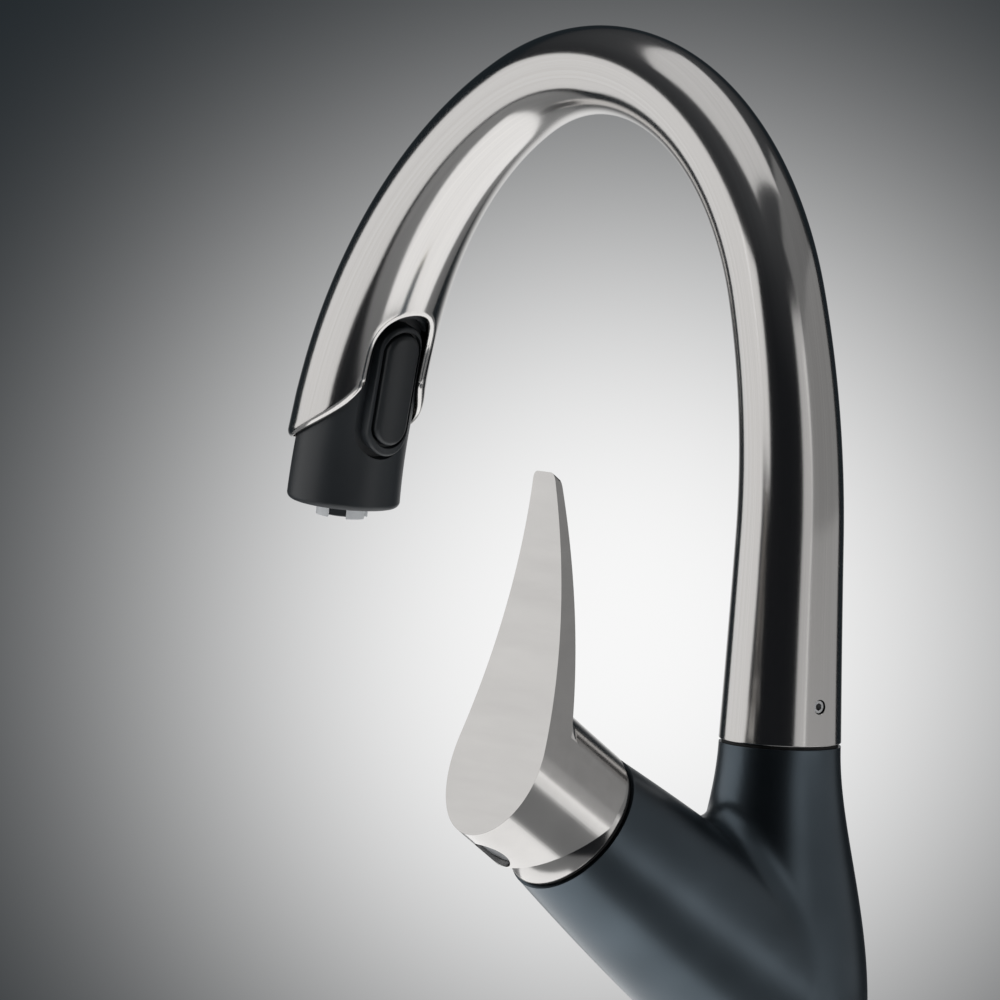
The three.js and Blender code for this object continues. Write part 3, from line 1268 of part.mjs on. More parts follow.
// Side view of the blade: the face in front, and a back that thickens towards the hub.
function bladeSide() {
  const steps = 12;
  const face = Array.from({ length: steps + 1 }, (_, i) => {
    return facePoint(-FACE_DOWN - HUB_MARGIN + ((FACE_UP + FACE_DOWN + 2 * HUB_MARGIN) * i) / steps);
  });
  const tipE = facePoint(FACE_UP).y;
  const back = face.map((point) => {
    const thickness = BLADE_TIP_THICKNESS + BLADE_THICKENING * Math.max(0, tipE - point.y);
    return new THREE.Vector2(point.x - thickness, point.y);
  });
  return new THREE.Shape([...face, ...back.reverse()]);
}

// Side view of the hub, from its bevelled rim into the blade.
function hubSide() {
  const low = -HUB_DROP - HUB_MARGIN;
  const high = HUB_RADIUS + HUB_MARGIN;
  const bevelRise = (RIM_BEVEL_START - low) * Math.tan(radians(RIM_BEVEL));
  const steps = 6;
  const face = Array.from({ length: steps + 1 }, (_, i) => {
    const point = facePoint(((FACE_DOWN + HUB_MARGIN) * (i - steps)) / steps);
    return point.setX(point.x - BLADE_TIP_THICKNESS);
  });
  return new THREE.Shape([
    new THREE.Vector2(HUB_RIM, high),
    new THREE.Vector2(HUB_RIM, RIM_BEVEL_START),
    new THREE.Vector2(HUB_RIM + bevelRise, low),
    ...face,
    new THREE.Vector2(face[steps].x, high),
  ]);
}

// Outline of the lever seen along the branch axis, as a drafted prism.
function leverOutline() {
  const tip = facePoint(FACE_UP).y;
  const start = FLANK_START;
  const halfAtStart = HUB_HALF_WIDTH * Math.sqrt(1 - (start / HUB_DROP) ** 2);
  const middle = (start + tip) / 2;
  const bow = FLANK_BOW;
  const angle = Math.asin(start / HUB_DROP);
  const shape = new THREE.Shape();
  shape.moveTo(halfAtStart, start);
  shape.quadraticCurveTo(bow, middle, BLADE_TIP_HALF_WIDTH, tip - BLADE_TIP_ROUND);
  shape.quadraticCurveTo(BLADE_TIP_HALF_WIDTH - 0.4, tip, BLADE_TIP_HALF_WIDTH - BLADE_TIP_ROUND, tip);
  shape.lineTo(-BLADE_TIP_HALF_WIDTH + BLADE_TIP_ROUND, tip);
  shape.quadraticCurveTo(-BLADE_TIP_HALF_WIDTH + 0.4, tip, -BLADE_TIP_HALF_WIDTH, tip - BLADE_TIP_ROUND);
  shape.quadraticCurveTo(-bow, middle, -halfAtStart, start);
  shape.absellipse(0, 0, HUB_HALF_WIDTH, HUB_DROP, Math.PI - angle, 2 * Math.PI + angle, false, 0);
  shape.closePath();
  const depth = 2 * FACE_MIDDLE_A + HUB_MARGIN;
  const geometry = new THREE.ExtrudeGeometry(sided(shape, 10), { depth, bevelEnabled: false });
  geometry.translate(0, 0, -HUB_MARGIN);
  const place = geometry.getAttribute("position");
  const faceAtAxis = facePoint(-FACE_MIDDLE_E / Math.cos(radians(FACE_TILT))).x;
  for (let i = 0; i < place.count; i += 1) {
    const draft = 1 + HUB_DRAFT * (faceAtAxis - place.getZ(i));
    place.setX(i, place.getX(i) * Math.max(draft, 0.9));
  }
  return geometry.rotateZ(Math.PI / 2);
}

function leverSolid() {
  const width = 4 * HUB_RADIUS;
  const outline = leverOutline();
  const barrel = rod(HUB_RADIUS, -HUB_MARGIN, FACE_MIDDLE_A + HUB_RADIUS, SIDES_LARGE);
  barrel.translate(HUB_AXIS_DROP, 0, 0);
  const blade = prism(bladeSide(), ALONG_BRANCH, UP_BRANCH, width);
  const hub = common(prism(hubSide(), ALONG_BRANCH, UP_BRANCH, width), barrel);
  const pocketRadius = DOME_RADIUS + RUNNING_GAP;
  const rise = POCKET_CEILING + PIVOT_DEPTH;
  const ceilingAngle = THREE.MathUtils.radToDeg(Math.asin(rise / pocketRadius));
  const pocket = revolve(
    [[0, -2 * PIVOT_DEPTH], ...arc(0, -PIVOT_DEPTH, pocketRadius, 0, ceilingAngle, 6), [0, POCKET_CEILING]],
    SIDES_LARGE,
  );
  const half = SPINDLE_HALF + SEAT_GAP;
  const socketTop = SPINDLE_TOP + SEAT_GAP;
  const socket = block(2 * half, 2 * half, 2 * socketTop);
  const grubBore = rod(GRUB_RADIUS + SEAT_GAP, 0, PLUG_SEAT + 1, 16);
  const plugSeat = rod(PLUG_RADIUS + SEAT_GAP, PLUG_SEAT, 2 * HUB_RADIUS, 24);
  const bores = [grubBore, plugSeat].map((bore) => bore.rotateY(Math.PI / 2).translate(0, 0, PLUG_PLACE));
  return cut(common(outline, join(blade, hub)), pocket, socket, ...bores);
}

function grubScrew() {
  const start = SPINDLE_HALF + SEAT_GAP;
  const screw = rod(GRUB_RADIUS, start, start + GRUB_LENGTH, 16);
  const socket = rod(1.5, start + GRUB_LENGTH - 3, start + GRUB_LENGTH + 1, 6);
  return cut(screw, socket).rotateY(Math.PI / 2).translate(0, 0, PLUG_PLACE);
}

function leverPlug() {
  const low = PLUG_SEAT + SEAT_GAP;
  const high = low + PLUG_THICKNESS;
  const edge = 0.4;
  const rim = [[PLUG_RADIUS, low], [PLUG_RADIUS, high - edge], [PLUG_RADIUS - edge, high]];
  const profile = [[0, low], ...rim, [0, high]];
  return revolve(profile, 24).rotateY(Math.PI / 2).translate(0, 0, PLUG_PLACE);
}

addPart(branchFrame, "lever", leverSolid(), satinSteel);
addPart(branchFrame, "grub_screw", grubScrew(), zincSteel);
addPart(branchFrame, "lever_plug", leverPlug(), greyPlastic);

export default mixer;
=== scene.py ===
"""Looks of the single-lever sink mixer: smooth visible pieces, finishes, studio light and camera.

Lengths are in millimetres in this script and become metres when a mesh is made.
"""
from math import acos, asin, cos, degrees, hypot, pi, radians, sin, sqrt, tan

import bmesh
import bpy
import numpy as np
from mathutils import Matrix, Vector


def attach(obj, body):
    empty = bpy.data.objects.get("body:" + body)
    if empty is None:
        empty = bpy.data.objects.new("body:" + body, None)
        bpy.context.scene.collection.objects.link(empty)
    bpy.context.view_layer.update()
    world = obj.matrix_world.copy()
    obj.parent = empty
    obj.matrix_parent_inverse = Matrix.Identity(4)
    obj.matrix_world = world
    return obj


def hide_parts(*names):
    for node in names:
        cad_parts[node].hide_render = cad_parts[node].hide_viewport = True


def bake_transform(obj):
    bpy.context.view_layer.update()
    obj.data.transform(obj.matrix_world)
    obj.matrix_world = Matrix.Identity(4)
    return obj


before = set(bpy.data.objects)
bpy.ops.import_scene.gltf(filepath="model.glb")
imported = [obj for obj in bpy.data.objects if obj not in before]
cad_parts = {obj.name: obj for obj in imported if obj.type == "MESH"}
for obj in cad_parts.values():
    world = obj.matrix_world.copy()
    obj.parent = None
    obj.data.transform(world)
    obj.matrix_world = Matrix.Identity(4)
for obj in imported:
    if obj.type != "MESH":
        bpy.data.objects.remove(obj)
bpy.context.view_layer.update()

scene = bpy.context.scene
MM = 0.001

# ---- sizes shared with the CAD

NECK_HEIGHT = 150
NECK_RADIUS = 17.2
BELLY_HEIGHT = 72
BELLY_RADIUS = 28.4
FOOT_RADIUS = 25.6
FOOT_HEIGHT = 5.3
NECK_FLARE = 23  # lengths of the upright starts of the column's curves
BELLY_RISE = 31
BELLY_FALL = 24
FOOT_FLARE = 24
NECK_LEAN = 0.4
FOOT_LEAN = 0.5
BRANCH_ANGLE = radians(35.7)
BRANCH_CROSS_HEIGHT = NECK_HEIGHT - 70.8
BRANCH_REACH = 89.7
BRANCH_MOUTH_RADIUS = 21.5
BRANCH_ROOT_RADIUS = 27.4
BRANCH_ROOT_DEPTH = 82
BRANCH_TAPER = 1.56
BRANCH_MOUTH = -1.3
CROTCH_FILLET = 8
BELLY_FILLET = 30
CHAMBER_RADIUS = 17.7
CHAMBER_FLOOR = -37.4
THREAD_RADIUS = 19.2
THREAD_DEPTH = -12.5
BORES = [  # radius, lower and upper end, and place along X
    ("neck_bore", 14, 136, 200, 0),
    ("shank_bore", 16.8, -10, 40.5, 0),
    ("hose_bore", 8, 30, 140, -3),
]
CASTING_MARGIN = 6  # what the neck and the branch are cut back by
CASTING_VOXEL = 0.62
CUTTER_REACH = 60

SPOUT_WALL = 1.2
SPOUT_START = 0.9
SPOUT_START_RADIUS = 17.3
SPOUT_NARROW_RADIUS = 13
SPOUT_END_RADIUS = 20.4
SPOUT_NARROW_START = 190
SPOUT_NARROW_END = 200
SPOUT_FLARE_STOP = 14
SPOUT_LIP = 3.2
SPOUT_RUNS = [  # length or bend radius, and sweep in degrees
    (57.5, 0),
    (220, 18),
    (92, 96),
    (147, 48.5),
    (24, 0),
]
WINDOW_HALF_WIDTH = 10.9
WINDOW_TOP = 56.2
WINDOW_ARCH = 16.2
WINDOW_BOTTOM = 29
WINDOW_DEPTH = 16.3
END_FRONT_BOW = (-12, -2)
END_BACK_BOW = (17.6, 13.7)
LIP_WIDTH = 2.4  # the steel rolls inwards along its cut edge
LIP_RADIUS = 3.13
EDGE_WIDTH = 0.55  # rounded edge of the steel at the spray, and at the spout's foot
FOOT_EDGE_WIDTH = 0.3
SET_SCREW_HEIGHT = 12.1
SET_SCREW_HOLE = 2.05
SET_SCREW_CHAMFER = 0.45

SPRAY_RADIUS = 17.5
SPRAY_MOUTH_RADIUS = 18.2
SPRAY_BEND_START = 14
SPRAY_BEND_RADIUS = 157
SPRAY_BEND = radians(11.5)
SPRAY_EDGE = 2
SPRAY_SHOULDER = 36
SPRAY_SHOULDER_RADIUS = 17
SPRAY_PLUG_RADIUS = 13.5
SPRAY_PLUG_TOP = 50
SPRAY_COLLAR_RADIUS = 8.6
SPRAY_COLLAR_TOP = 61
SPRAY_WATERWAY_RADIUS = 4.2
SPRAY_BORE_RADIUS = 15.9
SPRAY_BORE_DEPTH = 4.4
SPRAY_TONGUE_RADIUS = 16.9
SPRAY_TONGUE_HALF_WIDTH = 9.3
SPRAY_TONGUE_TOP = 54
PANEL_SLOPE = 0.09  # outward lean of the pad and button towards the mouth
PAD_HALF_WIDTH = 7.7
PAD_TOP = 47.6
PAD_BOTTOM = 5.2
PAD_EDGE = 1.1
PAD_FACE = 19.2
PANEL_RADIUS = 20  # its faces are curved about the spray's axis
VALLEY_WIDTH = 2.8  # hollow round the pad
VALLEY_FLOOR = 13.2
BUTTON_HALF_WIDTH = 6
BUTTON_HALF_LENGTH = 18
BUTTON_MIDDLE = 27
BUTTON_FACE = 20.2
BUTTON_EDGE = 1.5
BUTTON_THICKNESS = 3.4
BUTTON_TRAVEL = 1.5
BUTTON_GAP = 0.35
CHANNEL_WIDTH = 1  # open channel between the button and the pad's rim
CHANNEL_DEPTH = 1.7
NOZZLE_PLATE_RADIUS = 15.6
NOZZLE_PLATE_HOLE = 8.7
NOZZLE_PLATE_SINK = 1.1
NOZZLE_PLATE_THICKNESS = 3
NOZZLE_COUNT = 16
NOZZLE_CIRCLE = 12
NOZZLE = [(0, 0), (0.6, 0), (0.95, 1.4), (0, 1.4)]
AERATOR_RADIUS = 8.4
AERATOR_WALL = 1.2
AERATOR_DROP = 4.2
AERATOR_HEIGHT = 9
AERATOR_NOTCHES = 4
AERATOR_NOTCH_WIDTH = 5.8
AERATOR_NOTCH_HEIGHT = 3.2
INSERT_RADIUS = 6.9
INSERT_RECESS = 0.8
INSERT_RINGS = (1.4, 2.8, 4.2, 5.6)

HOSE_RADIUS = 4.2
HOSE_SIDES = 20
HOSE_STEPS = 70  # along the stretch over the spray
HOSE_LOW, HOSE_HIGH = 65.6, 75.0  # the stretch's ends over the dock
HOSE_FOOT = -48
HOSE_SPACING = 6  # between the points of its run
HOSE_ENTRY = 120  # where it meets the spout's centre line, from the spout's end
PULL_OUT = 450

PIVOT_DEPTH = 8.2
DOME_RADIUS = 22.45
DOME_TOP = 6.5
DOME_HOLE = 12
FACE_RADIUS = 194
FACE_MIDDLE = (39.7, 24.9)
FACE_TILT = radians(23.55)
FACE_UP = 51.8
FACE_DOWN = 48.7
BLADE_TIP_THICKNESS = 2.9
BLADE_THICKENING = 0.098
HUB_HALF_WIDTH = 19.5
HUB_DROP = 22
HUB_RADIUS = 21.9
HUB_AXIS_DROP = 0.4
HUB_DRAFT = 0.0029
HUB_RIM = 2
HUB_MARGIN = 4  # the cutting shapes reach this far past the lever
RIM_BEVEL = radians(20.3)
RIM_BEVEL_START = -1
BLADE_TIP_HALF_WIDTH = 5.6
BLADE_TIP_ROUND = 2.4
FLANK_START = 4  # above the hub's axis
FLANK_BOW = 13.9
POCKET_GAP = 0.35
POCKET_CEILING = 12
PLUG_PLACE = 15.5
PLUG_SEAT = 18.9
PLUG_RADIUS = 5.2
HEEL_RADIUS = 6  # fillet between the blade's back and the hub
HEEL_HALF_WIDTH = 18


# ---- frames

def spout_place(along):
    """Forward distance, height over the neck and heading at a length along the spout's centre line."""
    forward = height = heading = 0.0
    rest = along
    for index, (size, sweep) in enumerate(SPOUT_RUNS):
        turn = radians(sweep)
        length = size if sweep == 0 else size * turn
        last = index == len(SPOUT_RUNS) - 1
        part = rest if last else min(rest, length)
        if sweep == 0:
            forward += part * sin(heading)
            height += part * cos(heading)
        else:
            bend = part / size
            forward += size * (cos(heading) - cos(heading + bend))
            height += size * (sin(heading + bend) - sin(heading))
            heading += bend
        rest -= part
        if rest <= 0:
            break
    return forward, height, heading


SPOUT_LENGTH = sum(size if sweep == 0 else size * radians(sweep) for size, sweep in SPOUT_RUNS)
END_FORWARD, END_HEIGHT, END_HEADING = spout_place(SPOUT_LENGTH)


def frame_at(base, x, y, z, turn, axis):
    """A frame at a place in another frame, turned about one of its axes."""
    return base @ Matrix.Translation((x, y, z)) @ Matrix.Rotation(turn, 4, axis)


CAD = Matrix.Identity(4)
DOCK = frame_at(CAD, 0, -END_FORWARD, NECK_HEIGHT + END_HEIGHT, END_HEADING - pi, "X")
MOUTH = frame_at(
    DOCK,
    0,
    SPRAY_BEND_RADIUS * (1 - cos(SPRAY_BEND)),
    SPRAY_BEND_START - SPRAY_BEND_RADIUS * sin(SPRAY_BEND),
    SPRAY_BEND,
    "X",
)
BRANCH = frame_at(
    CAD,
    BRANCH_REACH * cos(BRANCH_ANGLE),
    0,
    BRANCH_CROSS_HEIGHT + BRANCH_REACH * sin(BRANCH_ANGLE),
    pi / 2 - BRANCH_ANGLE,
    "Y",
)
PLUG = frame_at(BRANCH, 0, 0, PLUG_PLACE, pi / 2, "Y")


# ---- mesh helpers

def add(name, data):
    made = bpy.data.objects.new(name, data)
    scene.collection.objects.link(made)
    return made


def clean(build, merged, flat):
    """Merges close corners and takes out flat faces. Both distances are in metres."""
    bmesh.ops.remove_doubles(build, verts=build.verts, dist=merged)
    bmesh.ops.dissolve_degenerate(build, edges=build.edges, dist=flat)


def mesh_object(name, points, faces, place=CAD):
    """An object whose mesh holds the points, moved by the frame and scaled to metres."""
    mesh = bpy.data.meshes.new(name)
    mesh.from_pydata([tuple((place @ Vector(p)) * MM) for p in points], [], faces)
    build = bmesh.new()
    build.from_mesh(mesh)
    clean(build, 1e-7, 1e-8)
    if build.calc_volume(signed=True) < 0:
        bmesh.ops.reverse_faces(build, faces=build.faces)
    build.to_mesh(mesh)
    build.free()
    return add(name, mesh)


def loft(name, sections, place=CAD, ring=False):
    """A skin through cross-sections with as many points each, with flat ends or closed into a ring."""
    count = len(sections[0])
    points = [p for section in sections for p in section]
    faces = []
    spans = len(sections) if ring else len(sections) - 1
    for i in range(spans):
        low = i * count
        high = ((i + 1) % len(sections)) * count
        for j in range(count):
            k = (j + 1) % count
            faces.append((low + j, low + k, high + k, high + j))
    if not ring:
        faces.append(tuple(range(count))[::-1])
        faces.append(tuple(range(len(points) - count, len(points))))
    return mesh_object(name, points, faces, place)


def turns(sides):
    """Angles that divide a full turn."""
    return [2 * pi * i / sides for i in range(sides)]


def revolve(name, profile, place=CAD, sides=128):
    """A body of revolution about Z from a closed outline of (radius, height) pairs."""
    sections = [[(r * cos(a), r * sin(a), z) for r, z in profile] for a in turns(sides)]
    return loft(name, sections, place, ring=True)


def rod(name, radius, low, high, place=CAD, sides=64):
    """A plain round bar along Z."""
    sections = [[(radius * cos(a), radius * sin(a), z) for a in turns(sides)] for z in (low, high)]
    return loft(name, sections, place)


def prism(name, outline, low, high, place=CAD):
    """The outline's pairs are the frame's X and Z, and the prism reaches from low to high along Y."""
    return loft(name, [[(x, y, z) for x, z in outline] for y in (low, high)], place)


def cuboid(name, low, high, place=CAD):
    corners = [(low[0], low[1]), (high[0], low[1]), (high[0], high[1]), (low[0], high[1])]
    return loft(name, [[(x, y, z) for x, y in corners] for z in (low[2], high[2])], place)


def settle(obj):
    """Applies the object's modifiers to its mesh."""
    view = bpy.context.evaluated_depsgraph_get()
    view.update()
    mesh = bpy.data.meshes.new_from_object(obj.evaluated_get(view))
    obj.modifiers.clear()
    obj.data = mesh
    return obj


def configure(target, **settings):
    for key, value in settings.items():
        setattr(target, key, value)


def modify(obj, kind, **settings):
    configure(obj.modifiers.new(kind, kind), **settings)


def combine(obj, tool, operation):
    """Joins, cuts or intersects the object with a tool, which is used up."""
    modify(obj, "BOOLEAN", operation=operation, solver="MANIFOLD", object=tool)
    settle(obj)
    bpy.data.objects.remove(tool)
    return obj


def cut(obj, *tools):
    for tool in tools:
        combine(obj, tool, "DIFFERENCE")
    return obj


def soften(obj, width, segments=2, angle=35):
    """Rounds the sharp edges by a width in millimetres and shades the rest smooth."""
    build = bmesh.new()
    build.from_mesh(obj.data)
    clean(build, 2e-5, 1e-6)
    build.to_mesh(obj.data)
    build.free()
    limit = radians(angle)
    modify(obj, "BEVEL", width=width * MM, segments=segments, limit_method="ANGLE", angle_limit=limit)
    settle(obj)
    shade(obj)
    modify(obj, "WEIGHTED_NORMAL", keep_sharp=True)
    return settle(obj)


def shade(obj, angle=32):
    obj.data.shade_smooth()
    obj.data.set_sharp_from_angle(angle=radians(angle))
    return obj


def arc(centre, radius, start, stop, steps):
    """Points of an arc, with angles in degrees."""
    angles = [radians(start + (stop - start) * i / steps) for i in range(steps + 1)]
    return [(centre[0] + radius * cos(a), centre[1] + radius * sin(a)) for a in angles]


def quadratic(t):
    return (1 - t) ** 2, 2 * t * (1 - t), t * t


def cubic(t):
    return (1 - t) ** 3, 3 * t * (1 - t) ** 2, 3 * t * t * (1 - t), t ** 3


def bezier(*handles, steps):
    """Points of a Bezier curve with three or four handles."""
    weights = cubic if len(handles) == 4 else quadratic
    points = []
    for i in range(steps + 1):
        w = weights(i / steps)
        points.append(tuple(sum(k * p[axis] for k, p in zip(w, handles)) for axis in (0, 1)))
    return points


def stadium(half, low, high, steps=20):
    """Outline with straight sides and round ends, long along its second axis."""
    return arc((0, low + half), half, 180, 360, steps) + arc((0, high - half), half, 0, 180, steps)


# ---- finishes

NOISE_ROUGHNESS = 0.6
TINT_STOPS = (0.3, 0.7)
BROAD_SHARE = 0.12  # scale of brushed metal's broad streaks beside its fine lines
COATING_SHIFT = 0.06  # of a coating's roughness
CLOUD_SIZE = 25.0
WEAVE_SIZE = 3.2
WEAVE_REPEATS = 4  # of the woven pattern round the hose


def feed(tree, socket, value):
    """Gives an input a plain value, or links another node's output to it."""
    if isinstance(value, bpy.types.NodeSocket):
        tree.links.new(value, socket)
    else:
        socket.default_value = value


def fill(tree, target, **values):
    """Feeds a node's inputs by name, with underscores for spaces. Other names are its settings."""
    for key, value in values.items():
        if key.replace("_", " ") in target.inputs:
            feed(tree, target.inputs[key.replace("_", " ")], value)
        else:
            setattr(target, key, value)


def node(tree, kind, *sources, **values):
    """A new node. The sources feed its inputs in order."""
    made = tree.nodes.new(kind)
    fill(tree, made, **values)
    for socket, source in zip(made.inputs, sources):
        feed(tree, socket, source)
    return made


def calculate(tree, operation, *sources):
    return node(tree, "ShaderNodeMath", *sources, operation=operation).outputs[0]


def shader(name, color, metallic, roughness):
    """A new material and its principled shader."""
    material = bpy.data.materials.new(name)
    material.use_nodes = True
    tree = material.node_tree
    surface = tree.nodes["Principled BSDF"]
    fill(tree, surface, Base_Color=(*color, 1), Metallic=metallic, Roughness=roughness)
    return material, tree, surface


def spread(tree, source, low, high):
    """Maps a 0 to 1 factor onto a range."""
    return node(tree, "ShaderNodeMapRange", Value=source, To_Min=low, To_Max=high).outputs["Result"]


def grain(tree, coordinates, scale, detail=4.0, size=1.0):
    """Noise over coordinates that are stretched by a scale for each axis."""
    noise = node(tree, "ShaderNodeTexNoise", Scale=size, Detail=detail, Roughness=NOISE_ROUGHNESS)
    mapping = node(tree, "ShaderNodeMapping", Vector=coordinates, Scale=scale)
    fill(tree, noise, Vector=mapping.outputs["Vector"])
    return noise.outputs["Fac"]


def tint(tree, factor, dark, light):
    """A colour between two, by a factor."""
    ramp = node(tree, "ShaderNodeValToRGB", Fac=factor)
    for stop, position, color in zip(ramp.color_ramp.elements, TINT_STOPS, (dark, light)):
        stop.position = position
        stop.color = (*color, 1)
    return ramp.outputs["Color"]


def bump(tree, surface, height, strength, distance=0.00005):
    """Fine relief of a surface, with its depth in metres."""
    made = node(tree, "ShaderNodeBump", Strength=strength, Distance=distance, Height=height)
    fill(tree, surface, Normal=made.outputs["Normal"])


def brushed_metal(name, color, roughness, coordinates, scale, depth=0.12, shift=0.06, variation=0.1):
    """Brushed metal: fine lines that are long where the scale is small."""
    material, tree, surface = shader(name, color, 1.0, roughness)
    source = node(tree, "ShaderNodeTexCoord").outputs[coordinates]
    lines = grain(tree, source, scale)
    broad = grain(tree, source, tuple(s * BROAD_SHARE for s in scale), detail=2.0)
    dark = tuple(c * (1 - variation) for c in color)
    fine_shift = spread(tree, lines, roughness - shift, roughness + shift)
    total = calculate(tree, "ADD", fine_shift, spread(tree, broad, -shift / 2, shift / 2))
    fill(tree, surface, Base_Color=tint(tree, lines, dark, color), Roughness=total)
    bump(tree, surface, lines, depth)
    return material


def coated(name, color, roughness, speckle, depth, cloud=0.2, metallic=0.0):
    """A satin coating or moulded plastic with a fine orange-peel texture."""
    material, tree, surface = shader(name, color, metallic, roughness)
    source = node(tree, "ShaderNodeTexCoord").outputs["Object"]
    fine = grain(tree, source, (1, 1, 1), detail=3.0, size=speckle)
    broad = grain(tree, source, (1, 1, 1), detail=2.0, size=CLOUD_SIZE)
    dark = tuple(c * (1 - cloud) for c in color)
    light = tuple(min(1, c * (1 + cloud)) for c in color)
    shifted = spread(tree, fine, roughness - COATING_SHIFT, roughness + COATING_SHIFT)
    fill(tree, surface, Base_Color=tint(tree, broad, dark, light), Roughness=shifted)
    bump(tree, surface, fine, depth)
    return material


def woven(name):
    """Braided sleeve of the hose, by its UV: U goes round it and V along it."""
    material, tree, surface = shader(name, (0.22, 0.23, 0.25), 0.35, 0.45)
    source = node(tree, "ShaderNodeTexCoord").outputs["UV"]
    waves = []
    for turn in (45, -45):
        mapping = node(tree, "ShaderNodeMapping", Vector=source, Rotation=(0, 0, radians(turn)))
        wave = node(tree, "ShaderNodeTexWave", Scale=WEAVE_SIZE, Distortion=0.4)
        fill(tree, wave, Vector=mapping.outputs["Vector"])
        waves.append(wave.outputs["Fac"])
    weave = calculate(tree, "MAXIMUM", *waves)
    colors = tint(tree, weave, (0.05, 0.05, 0.06), (0.42, 0.43, 0.45))
    fill(tree, surface, Base_Color=colors, Roughness=spread(tree, weave, 0.6, 0.32))
    bump(tree, surface, weave, 0.6, 0.0003)
    return material


STEEL = (0.60, 0.585, 0.57)
tube_steel = brushed_metal("tube_steel", STEEL, 0.15, "UV", (260, 2.2, 1), depth=0.05, shift=0.03)
face_steel = brushed_metal("face_steel", (0.67, 0.665, 0.66), 0.3, "Object", (12, 380, 12), variation=0.14)
hub_steel = brushed_metal("hub_steel", STEEL, 0.17, "Object", (90, 14, 90), depth=0.05, shift=0.03)
plated_steel = brushed_metal("plated_steel", (0.5, 0.505, 0.51), 0.34, "Object", (60, 60, 900))
anthracite = coated("anthracite", (0.085, 0.105, 0.122), 0.35, 2600.0, 0.06, metallic=1.0)
black_plastic = coated("black_plastic", (0.02, 0.024, 0.028), 0.42, 1800.0, 0.12)
button_plastic = coated("button_plastic", (0.018, 0.021, 0.024), 0.38, 1800.0, 0.1)
grey_plastic = coated("grey_plastic", (0.2, 0.21, 0.22), 0.45, 1500.0, 0.08)
white_plastic = coated("white_plastic", (0.84, 0.86, 0.88), 0.38, 1500.0, 0.06, cloud=0.05)
black_rubber = coated("black_rubber", (0.008, 0.008, 0.008), 0.65, 1200.0, 0.2)
braid = woven("braid")

CAD_FINISHES = [  # the CAD's other nodes keep their own
    (plated_steel, "spout_sleeve set_screw button_spring mounting_shank clamp_washer pivot_pin grub_screw"),
    (black_rubber, "base_seal clamp_seal neck_washer port_seal"),
]
for finish, names in CAD_FINISHES:
    for name in names.split():
        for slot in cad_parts[name].material_slots:
            slot.material = finish


def put(obj, material, body, replaced):
    """Gives a piece its finish and its body, and hides the CAD node it stands for."""
    obj.data.materials.clear()
    obj.data.materials.append(material)
    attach(obj, body)
    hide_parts(replaced)


# ---- spout tube

def spout_radius(along):
    """The tube's radius narrows from its foot and flares to its end."""
    if along < SPOUT_NARROW_START:
        share = (SPOUT_NARROW_START - along) / SPOUT_NARROW_START
        return SPOUT_NARROW_RADIUS + (SPOUT_START_RADIUS - SPOUT_NARROW_RADIUS) * share ** 1.8
    flare = SPOUT_LENGTH - SPOUT_FLARE_STOP - SPOUT_NARROW_END
    share = min(max((along - SPOUT_NARROW_END) / flare, 0), 1)
    return SPOUT_NARROW_RADIUS + (SPOUT_END_RADIUS - SPOUT_NARROW_RADIUS) * (1 - (1 - share ** 2.55) ** 1.35)


def spout_point(along, turn, inset):
    """A point of the tube's skin. The turn is 0 on the inner side of the arch."""
    forward, height, heading = spout_place(along)
    radius = spout_radius(along) - inset
    inward = Vector((0, -cos(heading), -sin(heading)))
    centre = Vector((0, -forward, NECK_HEIGHT + height))
    return centre + Vector((radius * sin(turn), 0, 0)) + inward * (radius * cos(turn))


END_CURVE = bezier(
    (-SPOUT_END_RADIUS, -SPOUT_LIP), END_FRONT_BOW, END_BACK_BOW, (WINDOW_DEPTH, WINDOW_BOTTOM), steps=400
)
END_ACROSS = np.maximum.accumulate([p[0] for p in END_CURVE])
END_HEIGHTS = [p[1] for p in END_CURVE]


def end_height(inward):
    """Height of the slanting end's edge over the end of the centre line, by place across the tube."""
    return float(np.interp(inward, END_ACROSS, END_HEIGHTS))


def edge_distances(points, chain):
    """Distance of each point from a closed chain of points."""
    start = np.array(chain)
    span = np.roll(start, -1, axis=0) - start
    rest = np.array(points)[:, None, :] - start
    share = np.clip((rest * span).sum(2) / (span ** 2).sum(1), 0, 1)
    return np.linalg.norm(rest - share[..., None] * span, axis=2).min(1)


def lip_depth(distance):
    """How far the steel has rolled inwards at a distance from its cut edge."""
    rest = max(LIP_WIDTH - distance, 0)
    return LIP_RADIUS - sqrt(LIP_RADIUS ** 2 - rest ** 2)


def edge_share(distance, width=EDGE_WIDTH):
    """Share of half the wall that the rounded edge takes off each skin."""
    rest = max(1 - distance / width, 0)
    return 1 - sqrt(1 - rest ** 2)


